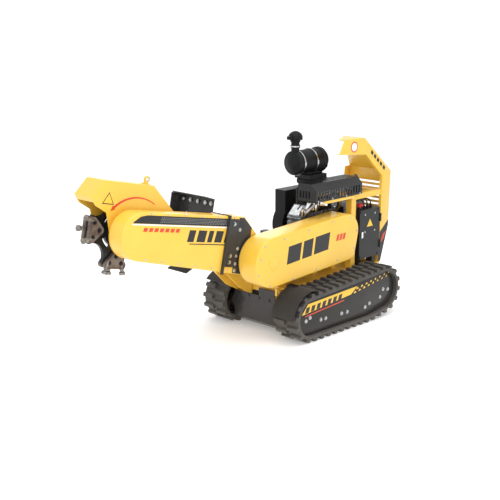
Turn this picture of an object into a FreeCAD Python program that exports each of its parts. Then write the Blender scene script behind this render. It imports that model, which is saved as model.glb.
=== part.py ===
import FreeCAD, Part
import math
import os

# Tracked, remote-controlled stump grinder.  Millimetres, +Z up.
# The machine faces -Y, its left side is +X, the ground is Z = 0.
os.makedirs("parts", exist_ok=True)

V = FreeCAD.Vector

# ---- driving dimensions -------------------------------------------------
run_fit = 0.06            # radial clearance of a shaft in its bearing
skin = 4.0                # folded sheet of the belt guards
track_outer_x = 440.0     # half width over the tracks
belt_w = 200.0            # width of one rubber track
band_t = 20.0             # thickness of the rubber band
lug_h = 22.0              # height of a track lug
lug_rows = 36             # lugs in each of the two rows
idler_y = -290.0          # front idler
idler_r = 122.5
roller_r = 55.0           # bottom rollers
roller_y = (20.0, 335.0)
sprocket_y = 505.0        # rear drive sprocket
sprocket_r = 132.5
wheel_gap = 0.5           # wheel to rubber band
axle_r = 16.0
deck_z = 330.0
deck_t = 6.0
deck_half = 234.0
pivot_y = -520.0          # swing axis of the arm, along X
pivot_z = 560.0
rest_deg = 12.0           # arm above horizontal in the rest pose
cutter_s = 980.0          # cutter axis along the arm from the pivot
cutter_n = 95.0           # cutter axis above the arm datum
arm_x0 = -35.0            # far face of the arm beam
arm_x1 = 5.0              # near face of the arm beam
arm_plate_t = 4.0
arm_guard_x = 130.0       # near face of the arm belt guard
pulley_r = 75.0           # the two pulleys inside the arm
drive_pulley_r = 85.0     # crank and jackshaft pulleys
rubber_belt_t = 8.0
crank_y = 190.0
crank_z = 610.0
guard_x0 = 155.0          # chassis belt guard, inner and outer faces
guard_x1 = 305.0
back_plate_t = 8.0
jack_r = 25.0
cutter_shaft_r = 30.0
disc_x0 = -122.0
disc_x1 = -98.0
tip_r = 270.0             # radius over the cutter teeth
holder_t = 26.0
lobes = 4
hood_half = 230.0

# ---- derived sizes ------------------------------------------------------
track_inner_x = track_outer_x - belt_w
idler_z = idler_r + wheel_gap + band_t + lug_h
roller_z = roller_r + wheel_gap + band_t + lug_h
sprocket_z = sprocket_r + wheel_gap + band_t + lug_h + 25.0
deck_top = deck_z + deck_t
rest = math.radians(rest_deg)
guard_open_x = arm_x1 + arm_plate_t
shapes = {}


# ---- helpers ------------------------------------------------------------
def box(x0, x1, y0, y1, z0, z1):
    return Part.makeBox(x1 - x0, y1 - y0, z1 - z0, V(x0, y0, z0))


def cyl_x(x0, x1, y, z, r):
    return Part.makeCylinder(r, x1 - x0, V(x0, y, z), V(1, 0, 0))


def cyl_y(y0, y1, x, z, r):
    return Part.makeCylinder(r, y1 - y0, V(x, y0, z), V(0, 1, 0))


def cyl_z(z0, z1, x, y, r):
    return Part.makeCylinder(r, z1 - z0, V(x, y, z0), V(0, 0, 1))


def fuse(first, *rest_of):
    out = first
    flat = []
    for item in rest_of:
        if isinstance(item, (list, tuple)):
            flat.extend(item)
        else:
            flat.append(item)
    if flat:
        out = first.fuse(flat)
    return out.removeSplitter()


def cut(first, *tools):
    out = first
    for tool in tools:
        if isinstance(tool, (list, tuple)):
            if tool:
                out = out.cut(list(tool))
        else:
            out = out.cut(tool)
    return out


def prism_x(points, x0, x1):
    pts = [V(x0, y, z) for y, z in points]
    pts.append(pts[0])
    return Part.Face(Part.makePolygon(pts)).extrude(V(x1 - x0, 0, 0))


def hull_sides(circles, extra=0.0):
    """Straight sides of the band round the circles (y, z, r), in order."""
    sides = []
    count = len(circles)
    for i in range(count):
        y1, z1, r1 = circles[i]
        y2, z2, r2 = circles[(i + 1) % count]
        r1 += extra
        r2 += extra
        length = math.hypot(y2 - y1, z2 - z1)
        uy = (y2 - y1) / length
        uz = (z2 - z1) / length
        sin_a = (r1 - r2) / length
        cos_a = math.sqrt(1.0 - sin_a * sin_a)
        ny = uz * cos_a + uy * sin_a
        nz = -uy * cos_a + uz * sin_a
        sides.append((y1 + r1 * ny, z1 + r1 * nz, y2 + r2 * ny, z2 + r2 * nz,
                      math.atan2(nz, ny)))
    return sides


def hull_x(circles, x0, x1, extra=0.0):
    """Plate whose outline wraps the circles (y, z, r), extruded along X."""
    sides = hull_sides(circles, extra)
    edges = []
    count = len(circles)
    for i in range(count):
        ya, za, yb, zb, ang = sides[i]
        edges.append(Part.makeLine(V(x0, ya, za), V(x0, yb, zb)))
        yc, zc, r = circles[(i + 1) % count]
        r += extra
        after = sides[(i + 1) % count]
        a2 = after[4]
        while a2 < ang - 1e-9:
            a2 += 2.0 * math.pi
        if r > 0.01 and a2 - ang > 1e-4:
            mid = 0.5 * (ang + a2)
            arc = Part.Arc(V(x0, yb, zb),
                           V(x0, yc + r * math.cos(mid), zc + r * math.sin(mid)),
                           V(x0, after[0], after[1]))
            edges.append(arc.toShape())
    return Part.Face(Part.Wire(edges)).extrude(V(x1 - x0, 0, 0))


def loop_stations(circles, extra, count):
    """Evenly spaced places on the band: y, z and outward angle."""
    sides = hull_sides(circles, extra)
    pieces = []
    number = len(circles)
    for i in range(number):
        ya, za, yb, zb, ang = sides[i]
        pieces.append(("line", math.hypot(yb - ya, zb - za), ya, za, yb, zb, ang))
        yc, zc, r = circles[(i + 1) % number]
        r += extra
        a2 = sides[(i + 1) % number][4]
        while a2 < ang - 1e-9:
            a2 += 2.0 * math.pi
        pieces.append(("arc", r * (a2 - ang), yc, zc, r, ang, a2))
    total = sum(p[1] for p in pieces)
    out = []
    for k in range(count):
        left = total * k / count
        for p in pieces:
            if left > p[1]:
                left -= p[1]
                continue
            t = left / p[1]
            if p[0] == "line":
                out.append((p[2] + t * (p[4] - p[2]), p[3] + t * (p[5] - p[3]), p[6]))
            else:
                a = p[5] + t * (p[6] - p[5])
                out.append((p[2] + p[4] * math.cos(a), p[3] + p[4] * math.sin(a), a))
            break
    return out


def ring_x(x0, x1, y, z, r_out, r_in):
    return cyl_x(x0, x1, y, z, r_out).cut(cyl_x(x0 - 1, x1 + 1, y, z, r_in))


def hexagon_x(x0, x1, y, z, size):
    pts = []
    for k in range(6):
        a = math.radians(60.0 * k)
        pts.append((y + size * math.cos(a), z + size * math.sin(a)))
    return prism_x(pts, x0, x1)


def mirror(shape):
    return shape.mirror(V(0, 0, 0), V(1, 0, 0))


def add(name, shape):
    shapes[name] = shape


# ---- undercarriage ------------------------------------------------------
loop = [(idler_y, idler_z, idler_r + wheel_gap),
        (roller_y[1], roller_z, roller_r + wheel_gap),
        (sprocket_y, sprocket_z, sprocket_r + wheel_gap)]
band = cut(hull_x(loop, track_inner_x, track_outer_x, band_t),
           hull_x(loop, track_inner_x - 1, track_outer_x + 1, 0.0))
lugs = []
lug_len = 92.0
for row, (lx0, lx1) in enumerate(((track_inner_x, track_inner_x + lug_len),
                                  (track_outer_x - lug_len, track_outer_x))):
    for k, (ly, lz, la) in enumerate(loop_stations(loop, band_t, 2 * lug_rows)):
        if k % 2 != row:
            continue
        lug = Part.makeBox(lx1 - lx0, 30.0, lug_h + 2.0, V(lx0, -15.0, -2.0))
        lug = lug.makeChamfer(5.0, [e for e in lug.Edges
                                    if e.BoundBox.ZMin > lug_h - 0.1
                                    and e.BoundBox.YLength < 0.1])
        lug.rotate(V(0, 0, 0), V(1, 0, 0), math.degrees(la) - 90.0)
        lug.translate(V(0, ly, lz))
        lugs.append(lug)
rubber_track = band.fuse(lugs)
flat_foot = box(track_inner_x - 1, track_outer_x + 1, -700, 900, -30, 0)
rubber_track = rubber_track.cut(flat_foot)

frame_x0 = 250.0
frame_x1 = 262.0
wheel_x0 = 264.0
wheel_x1 = 404.0
cover_x0 = 408.0
cover_x1 = 416.0
axle_places = ((idler_y, idler_z), (roller_y[0], roller_z),
               (roller_y[1], roller_z), (sprocket_y, sprocket_z))
inner_loop = [(idler_y, idler_z, 60.0), (roller_y[1], roller_z, 30.0),
              (sprocket_y, sprocket_z, 70.0)]
side_frame = hull_x(inner_loop, frame_x0, frame_x1)
axles = []
for ay, az in axle_places:
    axles.append(cyl_x(frame_x1, cover_x0, ay, az, axle_r))
beam_z0 = roller_z + roller_r + 14.0
side_beam = box(frame_x1, cover_x0, -130.0, 330.0, beam_z0, beam_z0 + 60.0)
side_beam = side_beam.cut(box(frame_x1 + 20, cover_x0 - 20, -131.0, 331.0,
                              beam_z0 + 8.0, beam_z0 + 52.0))
tensioner = cyl_y(-156.0, -130.0, 335.0, beam_z0 + 30.0, 28.0)
track_frame = fuse(side_frame, axles, side_beam, tensioner)

cover_loop = [(idler_y, idler_z, idler_r - 14.0), (roller_y[1], roller_z, roller_r - 8.0),
              (sprocket_y, sprocket_z, sprocket_r - 14.0)]
track_cover = hull_x(cover_loop, cover_x0, cover_x1)
cover_bolts = []
for by, bz in ((-330, 160), (-140, 118), (-160, 205), (120, 118), (60, 215),
               (300, 118), (290, 230), (430, 175), (560, 215)):
    cover_bolts.append(cyl_x(cover_x1, cover_x1 + 7.0, by, bz, 11.0))
for ay, az in axle_places:
    cover_bolts.append(cyl_x(cover_x1, cover_x1 + 5.0, ay, az, 24.0))
    cover_bolts.append(hexagon_x(cover_x1 + 5.0, cover_x1 + 14.0, ay, az, 15.0))
track_cover = fuse(track_cover, cover_bolts)


def spoked_wheel(y, z, r, half, hub_r, holes):
    mid = 0.5 * (wheel_x0 + wheel_x1)
    rim = ring_x(mid - half, mid + half, y, z, r, r - 16.0)
    web = cyl_x(mid - 8.0, mid + 8.0, y, z, r - 15.0)
    hub = cyl_x(wheel_x0, wheel_x1, y, z, hub_r)
    wheel = fuse(rim, web, hub)
    tools = [cyl_x(wheel_x0 - 1, wheel_x1 + 1, y, z, axle_r + run_fit)]
    for k in range(holes):
        a = 2.0 * math.pi * k / holes
        rad = 0.5 * (hub_r + r - 16.0)
        tools.append(cyl_x(mid - 9, mid + 9, y + rad * math.cos(a),
                           z + rad * math.sin(a), 15.0))
    return cut(wheel, tools)


idler = spoked_wheel(idler_y, idler_z, idler_r, 45.0, 36.0, 8)
sprocket = spoked_wheel(sprocket_y, sprocket_z, sprocket_r, 26.0, 46.0, 6)
teeth_gaps = []
sprocket_teeth = 14
for k in range(sprocket_teeth):
    a = 2.0 * math.pi * (k + 0.5) / sprocket_teeth
    teeth_gaps.append(cyl_x(wheel_x0 - 1, wheel_x1 + 1,
                            sprocket_y + sprocket_r * math.cos(a),
                            sprocket_z + sprocket_r * math.sin(a), 13.0))
sprocket = cut(sprocket, teeth_gaps)


def bottom_roller(y):
    body = cyl_x(wheel_x0, wheel_x1, y, roller_z, 34.0)
    flanges = [cyl_x(wheel_x0 + 14, wheel_x0 + 54, y, roller_z, roller_r),
               cyl_x(wheel_x1 - 54, wheel_x1 - 14, y, roller_z, roller_r)]
    marks = []
    for k in range(5):
        a = 2.0 * math.pi * k / 5
        marks.append(cyl_x(wheel_x1 - 20, wheel_x1 - 13, y + 44.0 * math.cos(a),
                           roller_z + 44.0 * math.sin(a), 5.0))
    return cut(fuse(body, flanges), marks,
               cyl_x(wheel_x0 - 1, wheel_x1 + 1, y, roller_z, axle_r + run_fit))


for side, put in (("left", lambda s: s), ("right", mirror)):
    add("rubber_track_" + side, put(rubber_track))
    add("track_frame_" + side, put(track_frame))
    add("track_cover_" + side, put(track_cover))
    add("idler_" + side, put(idler))
    add("sprocket_" + side, put(sprocket))
    add("roller_front_" + side, put(bottom_roller(roller_y[0])))
    add("roller_rear_" + side, put(bottom_roller(roller_y[1])))

# ---- chassis ------------------------------------------------------------
beam_w = 80.0
beam_h = 96.0
wall = 6.0
front_y = -337.0
rear_y = 700.0
frame_parts = []
frame_tools = []
for sx in (-1, 1):
    xa = sx * 230.0
    xb = sx * (230.0 - beam_w)
    x_lo = min(xa, xb)
    x_hi = max(xa, xb)
    frame_parts.append(box(x_lo, x_hi, front_y, rear_y, deck_z - beam_h, deck_z))
    frame_tools.append(box(x_lo + wall, x_hi - wall, front_y - 1, rear_y + 1,
                           deck_z - beam_h + wall, deck_z - wall))
    for py in (-150.0, 300.0):
        x_in = min(sx * 230.0, sx * frame_x0)
        x_out = max(sx * 230.0, sx * frame_x0)
        frame_parts.append(box(x_in, x_out, py - 40, py + 40, 236.0, 280.0))
for py in (-320.0, 100.0, 640.0):
    frame_parts.append(box(-150, 150, py, py + 60, deck_z - 60, deck_z))
frame_parts.append(box(-deck_half, deck_half, front_y, rear_y, deck_z, deck_top))
# actuator cradle at the nose
cradle = [(front_y, 244.0), (front_y, 440.0), (-420.0, 466.0), (-600.0, 466.0),
          (-600.0, 440.0), (-560.0, 420.0), (-440.0, 300.0)]
for cx0, cx1 in ((-226.0, -210.0), (-96.0, -80.0)):
    frame_parts.append(prism_x(cradle, cx0, cx1))
frame_parts.append(box(-226, -80, -600, -420, 450, 466))
frame_parts.append(box(-226, -80, front_y, front_y + 12, 244, 440))
# post for the belt guard back plate, engine plinth and rear uprights
plate_x0 = guard_x0 - back_plate_t
frame_parts.append(box(plate_x0 - 30, plate_x0, -300, -240, deck_top, 560))
frame_parts.append(box(-120, 130, 70, 110, deck_top, 470))
frame_parts.append(box(-120, 130, 270, 310, deck_top, 470))
post_y0 = 365.0
post_z1 = 876.0
bar_h = 40.0
bar_z0 = post_z1 - bar_h
post_x0 = 174.0
post_x1 = post_x0 + 50.0
bar_y1 = 690.0
leg_x0 = -140.0
add("rear_frame", fuse(box(post_x0, post_x1, post_y0, post_y0 + 50, deck_top, post_z1),
                       box(post_x0, post_x1, post_y0 + 50, bar_y1, bar_z0, post_z1),
                       box(leg_x0, post_x0, bar_y1 - 50, bar_y1, bar_z0, post_z1),
                       box(leg_x0, leg_x0 + bar_h, bar_y1 - 50, bar_y1, deck_top, bar_z0)))
# lashing eyes at the four corners
for ex in (-190.0, 190.0):
    for ey0, ey1, ec in ((front_y - 40, front_y, front_y - 22), (rear_y, rear_y + 44, rear_y + 24)):
        if ex < 0 and ey0 < 0:
            continue
        frame_parts.append(box(ex - 8, ex + 8, ey0, ey1, 286, deck_top))
        frame_tools.append(cyl_x(ex - 9, ex + 9, ec, 308, 11.0))
chassis = frame_parts[0].fuse(frame_parts[1:]).removeSplitter()
chassis = cut(chassis, frame_tools)
add("chassis_frame", chassis)

plate = box(-deck_half, deck_half, front_y - 8, front_y, 60, 244)
lip = prism_x([(front_y - 8, 60), (front_y, 60), (front_y + 60, 20), (front_y + 52, 20)],
              -deck_half, deck_half)
plate_bolts = []
for bx in (-190.0, -95.0, 0.0, 95.0, 190.0):
    plate_bolts.append(cyl_y(front_y - 14, front_y - 8, bx, 226, 9.0))
tabs = [box(0, 150, front_y - 8, front_y, 244, 300)]
add("front_plate", fuse(plate, lip, plate_bolts, tabs))


def flap(phi0, phi1):
    r0 = idler_z + 18.0
    r1 = r0 + 6.0
    sector = ring_x(track_inner_x + 4, track_outer_x - 4, idler_y, idler_z, r1, r0)
    keep = [(idler_y, idler_z)]
    for k in range(7):
        a = math.radians(phi0 + (phi1 - phi0) * k / 6.0)
        keep.append((idler_y - 400 * math.sin(a), idler_z + 400 * math.cos(a)))
    return sector.common(prism_x(keep, track_inner_x, track_outer_x))


flap_left = fuse(flap(-20.0, 85.0))
flap_right = fuse(flap(-20.0, 46.0))
flap_top = idler_z * 2.0 + 18.0
strut = box(deck_half - 8, track_inner_x + 60, idler_y - 20, idler_y + 20,
            flap_top + 3.0, flap_top + 12.0)
hang = box(deck_half - 8, deck_half, idler_y - 20, idler_y + 20, deck_top, flap_top + 12.0)
bolts = [cyl_z(flap_top + 12.0, flap_top + 17.0, track_inner_x + 20 + 26 * k, idler_y, 6.0)
         for k in range(2)]
add("fender_bracket_left", fuse(strut, hang, bolts))
strut_cut = cyl_x(track_inner_x, 500, idler_y, idler_z, idler_z + 24.0)
shapes["fender_bracket_left"] = cut(shapes["fender_bracket_left"], strut_cut)
add("fender_bracket_right", mirror(shapes["fender_bracket_left"]))
add("fender_flap_left", flap_left)
add("fender_flap_right", mirror(flap_right))

# ---- belt drive on the left side ----------------------------------------
guard_loop = [(pivot_y, pivot_z, 165.0), (250.0, 510.0, 70.0), (220.0, 640.0, 130.0)]
shell = cut(hull_x(guard_loop, guard_x0, guard_x1),
            hull_x(guard_loop, guard_x0 - 1, guard_x1 - skin, -skin))
guard_screws = []
for gy, gz, ga in loop_stations(guard_loop, -14.0, 14):
    guard_screws.append(cyl_x(guard_x1, guard_x1 + 4.0, gy, gz, 7.0))
hub_cover = cyl_x(guard_x1, guard_x1 + 6.0, pivot_y, pivot_z, 46.0)
add("belt_guard", fuse(shell, guard_screws, hub_cover))

back = hull_x(guard_loop, plate_x0, guard_x0)
bearing = [cyl_x(plate_x0 - 12, plate_x0, pivot_y, pivot_z, 58.0)]
for k in range(4):
    a = math.radians(45 + 90 * k)
    bearing.append(hexagon_x(plate_x0 - 19, plate_x0 - 12, pivot_y + 44 * math.cos(a),
                             pivot_z + 44 * math.sin(a), 8.0))
back = cut(fuse(back, bearing),
           cyl_x(plate_x0 - 20, guard_x0 + 1, pivot_y, pivot_z, jack_r + run_fit),
           cyl_x(plate_x0 - 1, guard_x0 + 1, crank_y, crank_z, 34.0))
add("guard_back_plate", back)


def pulley_x(x0, x1, y, z, r, bore):
    rim = fuse(cyl_x(x0, x0 + 5, y, z, r + 5.0), cyl_x(x1 - 5, x1, y, z, r + 5.0),
               cyl_x(x0 + 5, x1 - 5, y, z, r))
    tools = []
    for k in range(5):
        a = 2.0 * math.pi * k / 5
        tools.append(cyl_x(x0 - 1, x1 + 1, y + 0.62 * r * math.cos(a),
                           z + 0.62 * r * math.sin(a), 0.17 * r))
    if bore > 0:
        tools.append(cyl_x(x0 - 1, x1 + 1, y, z, bore))
    return cut(rim, tools)


drive_x0 = 186.0
drive_x1 = 262.0
arm_belt_x0 = 40.0
arm_belt_x1 = 110.0
# each shaft and the pulleys keyed to it are separate solids of one node
bore_r = jack_r + run_fit
crank_r = jack_r - run_fit
jackshaft = [cyl_x(arm_x0 + 6, 290.0, pivot_y, pivot_z, jack_r),
             pulley_x(drive_x0, drive_x1, pivot_y, pivot_z, drive_pulley_r, bore_r),
             pulley_x(arm_belt_x0, arm_belt_x1, pivot_y, pivot_z, pulley_r, bore_r)]
add("jackshaft", Part.makeCompound(jackshaft))
add("crank_pulley", Part.makeCompound([
    cyl_x(122.0, 282.0, crank_y, crank_z, crank_r),
    pulley_x(drive_x0, drive_x1, crank_y, crank_z, drive_pulley_r, crank_r + run_fit)]))
belt_loop = [(pivot_y, pivot_z, drive_pulley_r + 0.4), (crank_y, crank_z, drive_pulley_r + 0.4)]
add("drive_belt", cut(hull_x(belt_loop, drive_x0 + 7, drive_x1 - 7, rubber_belt_t),
                      hull_x(belt_loop, drive_x0 - 1, drive_x1 + 1)))

act_x0 = -232.0
act_x1 = -62.0
actuator = fuse(cyl_x(act_x0, act_x1, pivot_y, pivot_z, 88.0),
                cyl_x(act_x0 - 14, act_x0, pivot_y, pivot_z, 60.0),
                box(act_x0 + 6, act_x1 - 18, -600, -420, 466, 500),
                cyl_z(630, 668, -190, pivot_y, 17.0), cyl_z(630, 668, -110, pivot_y, 17.0))
act_marks = []
for k in range(8):
    a = 2.0 * math.pi * k / 8
    act_marks.append(hexagon_x(act_x0 - 8, act_x0, pivot_y + 74 * math.cos(a),
                               pivot_z + 74 * math.sin(a), 8.0))
add("rotary_actuator", fuse(actuator, act_marks))

# ---- engine -------------------------------------------------------------
crankcase = fuse(box(-120, 120, 70, 310, 470, 690),
                 cyl_x(120, 130.4, crank_y, crank_z, 70.0),
                 cyl_x(-140, -120, crank_y, crank_z, 60.0))
crankcase = crankcase.cut(cyl_x(118, 131, crank_y, crank_z, jack_r))
engine_parts = []
for sgn, cx in ((-1, 18.0), (1, -18.0)):
    stack = [Part.makeCylinder(54.0, 200.0, V(cx, crank_y, crank_z + 20), V(0, 0, 1))]
    for k in range(9):
        stack.append(Part.makeBox(136, 136, 5, V(cx - 68, crank_y - 68, crank_z + 96 + 12 * k)))
    stack.append(Part.makeBox(120, 116, 34, V(cx - 60, crank_y - 58, crank_z + 204)))
    stack.append(Part.makeBox(96, 92, 16, V(cx - 48, crank_y - 46, crank_z + 238)))
    jug = stack[0].fuse(stack[1:])
    jug.rotate(V(cx, crank_y, crank_z), V(1, 0, 0), -sgn * 45.0)
    engine_parts.append(jug)
engine_block = fuse(crankcase, engine_parts, box(-60, 60, 140, 240, 690, 760))
add("engine_block", engine_block)

blower = fuse(cyl_x(-236, -140, crank_y, crank_z + 40, 150.0),
              box(-236, -140, crank_y - 120, crank_y + 120, crank_z + 100, 900),
              cyl_x(-250, -236, crank_y, crank_z + 40, 96.0))
slots = []
for k in range(5):
    slots.append(ring_x(-251, -242, crank_y, crank_z + 40, 26.0 + 15 * k, 20.0 + 15 * k))
blower = cut(blower, slots)
add("blower_housing", blower)

canister_z = 1118.0
intake = fuse(box(-60, 60, 150, 230, 760, 800), cyl_z(800, 1000, 0, 190, 44.0),
              box(-70, 70, 90, 270, 1000, 1026))
add("intake_duct", intake)
canister = fuse(cyl_y(-30, 236, 0, canister_z, 84.0), cyl_y(236, 262, 0, canister_z, 90.0),
                cyl_y(262, 290, 0, canister_z, 78.0),
                cyl_y(20, 34, 0, canister_z, 88.0), cyl_y(150, 164, 0, canister_z, 88.0),
                cyl_z(canister_z + 60, 1262, 0, 14, 30.0),
                cyl_z(1226, 1240, 0, 14, 34.0),
                box(-40, 40, 100, 260, 1026, 1050))
add("air_cleaner", canister)
cap = fuse(cyl_z(1262, 1274, 0, 14, 40.0), cyl_z(1274, 1318, 0, 14, 50.0),
           Part.makeCone(50.0, 24.0, 20.0, V(0, 14, 1318), V(0, 0, 1)),
           box(-16, 16, -58, -20, 1282, 1306))
add("precleaner_cap", cap)

muf_x0 = 92.0
muf_x1 = 252.0
muf_y0 = -56.0
muf_y1 = 444.0
muf_z0 = 880.0
muf_z1 = 1000.0
muf_slope = 44.0          # the near top corner is cut back by this much
cage_profile = [(muf_x0, muf_z0), (muf_x1, muf_z0), (muf_x1, muf_z1 - muf_slope),
                (muf_x1 - muf_slope, muf_z1), (muf_x0, muf_z1)]


def prism_y(points, y0, y1):
    pts = [V(x, y0, z) for x, z in points]
    pts.append(pts[0])
    return Part.Face(Part.makePolygon(pts)).extrude(V(0, y1 - y0, 0))


cage_inside = [(muf_x0 + 3, muf_z0 - 1), (muf_x1 - 3, muf_z0 - 1),
               (muf_x1 - 3, muf_z1 - muf_slope - 1), (muf_x1 - muf_slope - 1, muf_z1 - 3),
               (muf_x0 + 3, muf_z1 - 3)]
cage = cut(prism_y(cage_profile, muf_y0, muf_y1), prism_y(cage_inside, muf_y0 + 3, muf_y1 - 3))
cage_cuts = []
for k in range(16):
    y = muf_y0 + 24 + 29 * k
    cage_cuts.append(box(muf_x0 + 16, muf_x1 - muf_slope - 12, y, y + 13, muf_z1 - 4, muf_z1 + 1))
    cage_cuts.append(box(muf_x1 - 4, muf_x1 + 1, y, y + 13, muf_z0 + 12, muf_z1 - muf_slope - 8))
for k in range(4):
    x = muf_x0 + 16 + 26 * k
    cage_cuts.append(box(x, x + 14, muf_y0 - 1, muf_y0 + 4, muf_z0 + 20, muf_z1 - 50))
cage_cuts.append(cyl_y(muf_y1 - 4, muf_y1 + 1, 140, muf_z0 + 55, 24.0))
cage = cut(cage, cage_cuts)
foot = box(180, 222, post_y0 + 5, post_y0 + 45, post_z1, muf_z0 + 4)
foot = foot.fuse(box(180, muf_x1 - 2, post_y0 + 5, post_y0 + 45, muf_z0, muf_z0 + 4))
inner_tabs = [box(muf_x0 + 2, 126, 180, 210, muf_z0, muf_z0 + 5)]
add("muffler_guard", fuse(cage, foot, inner_tabs))
muf_c = muf_z0 + 50.0
muffler = fuse(cyl_y(0, 400, 166, muf_c, 38.0),
               box(130, 202, 174, 216, muf_z0 + 5, muf_c - 20),
               box(100, 131, 182, 208, muf_z0 + 5, muf_z0 + 14))
pipe = cyl_y(390, 500, 140, muf_z0 + 55, 20.0)
pipe = cut(pipe, cyl_y(440, 501, 140, muf_z0 + 55, 16.0))
add("muffler", fuse(muffler, pipe))
add("oil_filter", fuse(cyl_y(0, 62, 60, 540, 38.0), cyl_y(62, 70, 60, 540, 30.0)))

# ---- tanks, cooler, controls --------------------------------------------
tank = box(-226, -50, -230, 30, deck_top, 600)
tank = tank.makeFillet(22.0, [e for e in tank.Edges
                              if e.BoundBox.ZLength > 100 or e.BoundBox.ZMin > 590])
add("fuel_tank", fuse(tank, cyl_z(599, 616, -150, -120, 30.0)))


def screw_cap(x, y, z, r):
    body = cyl_z(z, z + 24, x, y, r)
    grips = []
    for k in range(12):
        a = 2.0 * math.pi * k / 12
        grips.append(cyl_z(z - 1, z + 18, x + (r + 2) * math.cos(a),
                           y + (r + 2) * math.sin(a), 5.0))
    return cut(body, grips)


add("fuel_cap", screw_cap(-150, -120, 616.0, 38.0))
hyd = box(-40, 106, -225, -8, deck_top, 520)
hyd = hyd.makeFillet(8.0, [e for e in hyd.Edges if e.BoundBox.ZLength > 100])
add("hydraulic_tank", fuse(hyd, cyl_z(519, 534, 40, -160, 26.0),
                           cyl_z(519, 575, 40, -70, 30.0), cyl_z(575, 590, 40, -70, 36.0)))
add("hydraulic_cap", screw_cap(40, -160, 534.0, 32.0))

cool_y0 = 560.0
core = cut(box(-170, 140, cool_y0, cool_y0 + 60, 420, 800),
           [box(-150, 120, cool_y0 + 30, cool_y0 + 61, 440 + 30 * k, 460 + 30 * k)
            for k in range(11)])
shroud = cut(box(-170, 140, cool_y0 - 50, cool_y0, 440, 780),
             cyl_y(cool_y0 - 51, cool_y0 + 1, -5, 610, 140.0))
spider = [box(-152, 139, cool_y0 - 10, cool_y0, 602, 618), cyl_y(cool_y0 - 16, cool_y0, -5, 610, 34.0)]
feet = [box(-160, -130, cool_y0, cool_y0 + 50, deck_top, 421),
        box(100, 130, cool_y0, cool_y0 + 50, deck_top, 421)]
add("oil_cooler", fuse(core, shroud, spider, feet,
                       cyl_y(cool_y0 - 40, cool_y0 - 15, -5, 610, 8.0)))
blades = [cut(cyl_y(cool_y0 - 42, cool_y0 - 18, -5, 610, 38.0))]
for k in range(7):
    blade = Part.makeBox(44, 4, 102, V(-22, -2, 30))
    blade.rotate(V(0, 0, 0), V(0, 0, 1), 22)
    blade.rotate(V(0, 0, 0), V(0, 1, 0), 360.0 * k / 7)
    blade.translate(V(-5, cool_y0 - 30, 610))
    blades.append(blade)
fan = cut(fuse(blades[0], blades[1:]), cyl_y(cool_y0 - 60, cool_y0 - 10, -5, 610, 8.0 + run_fit),
          cyl_y(cool_y0 - 16.5, cool_y0 + 1, -5, 610, 160.0))
add("cooler_fan", fan)

box_x0 = 150.0
box_x1 = hood_half + 6.0
box_y0 = 442.0
box_y1 = 676.0
box_z0 = 396.0
box_z1 = 752.0
case = cut(box(box_x0, box_x1, box_y0, box_y1, box_z0, box_z1),
           box(box_x0 + 4, box_x1 + 1, box_y0 + 6, box_y1 - 6, box_z0 + 6, box_z1 - 6))
stop_x = 0.5 * (box_x0 + box_x1)
case = fuse(case, cyl_z(box_z1, box_z1 + 10, stop_x, 500, 22.0),
            [box(160, 215, fy, fy + 30, deck_top, box_z0) for fy in (470, 630)],
            box(box_x0 + 4, box_x0 + 34, 490, 640, 450, 560),
            [box(box_x1 - 12, box_x1, box_y1, box_y1 + 9, z, z + 24) for z in (450, 680)])
case = cut(case, cyl_z(box_z1 - 8, box_z1 + 11, stop_x, 500, 10.0 + run_fit))
add("control_box", case)
hinge_x = box_x1 + 9.0
hinge_y = box_y1 + 5.0
pins = [cyl_z(z, z + 24, hinge_x, hinge_y, 4.0) for z in (450, 680)]
shapes["control_box"] = fuse(shapes["control_box"],
                             [box(box_x1 - 1, hinge_x - 3.2, box_y1 + 1, box_y1 + 9, z, z + 24)
                              for z in (450, 680)],
                             [cyl_z(z, z + 60, hinge_x, hinge_y, 4.0) for z in (450, 644)],
                             [cyl_z(z, z + 24, hinge_x, hinge_y, 6.5) for z in (450, 680)])
door = box(box_x1 + 0.5, box_x1 + 5.5, box_y0, box_y1 - 3, box_z0, box_z1)
knuckles = [cyl_z(z, z + 30, hinge_x, hinge_y, 6.5) for z in (476, 648)]
webs = [box(box_x1 + 2.5, box_x1 + 5.5, box_y1 - 4, hinge_y, z, z + 30) for z in (476, 648)]
door = cut(fuse(door, knuckles, webs, [cyl_x(box_x1 + 5.5, box_x1 + 10, y, z, 7.0)
                                       for y in (box_y0 + 14, box_y1 - 16) for z in (410, 738)]),
           [cyl_z(440, 720, hinge_x, hinge_y, 4.0 + run_fit)],
           [cyl_x(box_x1 - 1, box_x1 + 12, 466, 574, 8.0 + run_fit)])
add("box_door", door)
latch = fuse(cyl_x(box_x1 - 12, box_x1 + 6, 466, 574, 8.0),
             box(box_x1 + 6, box_x1 + 14, 457, 475, 552, 596),
             box(box_x1 - 12, box_x1 - 7, 450, 474, 566, 582))
add("door_latch", latch)
add("emergency_stop", fuse(cyl_z(box_z1 + 2, box_z1 + 26, stop_x, 500, 10.0),
                           cyl_z(box_z1 + 22, box_z1 + 38, stop_x, 500, 24.0)))

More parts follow.
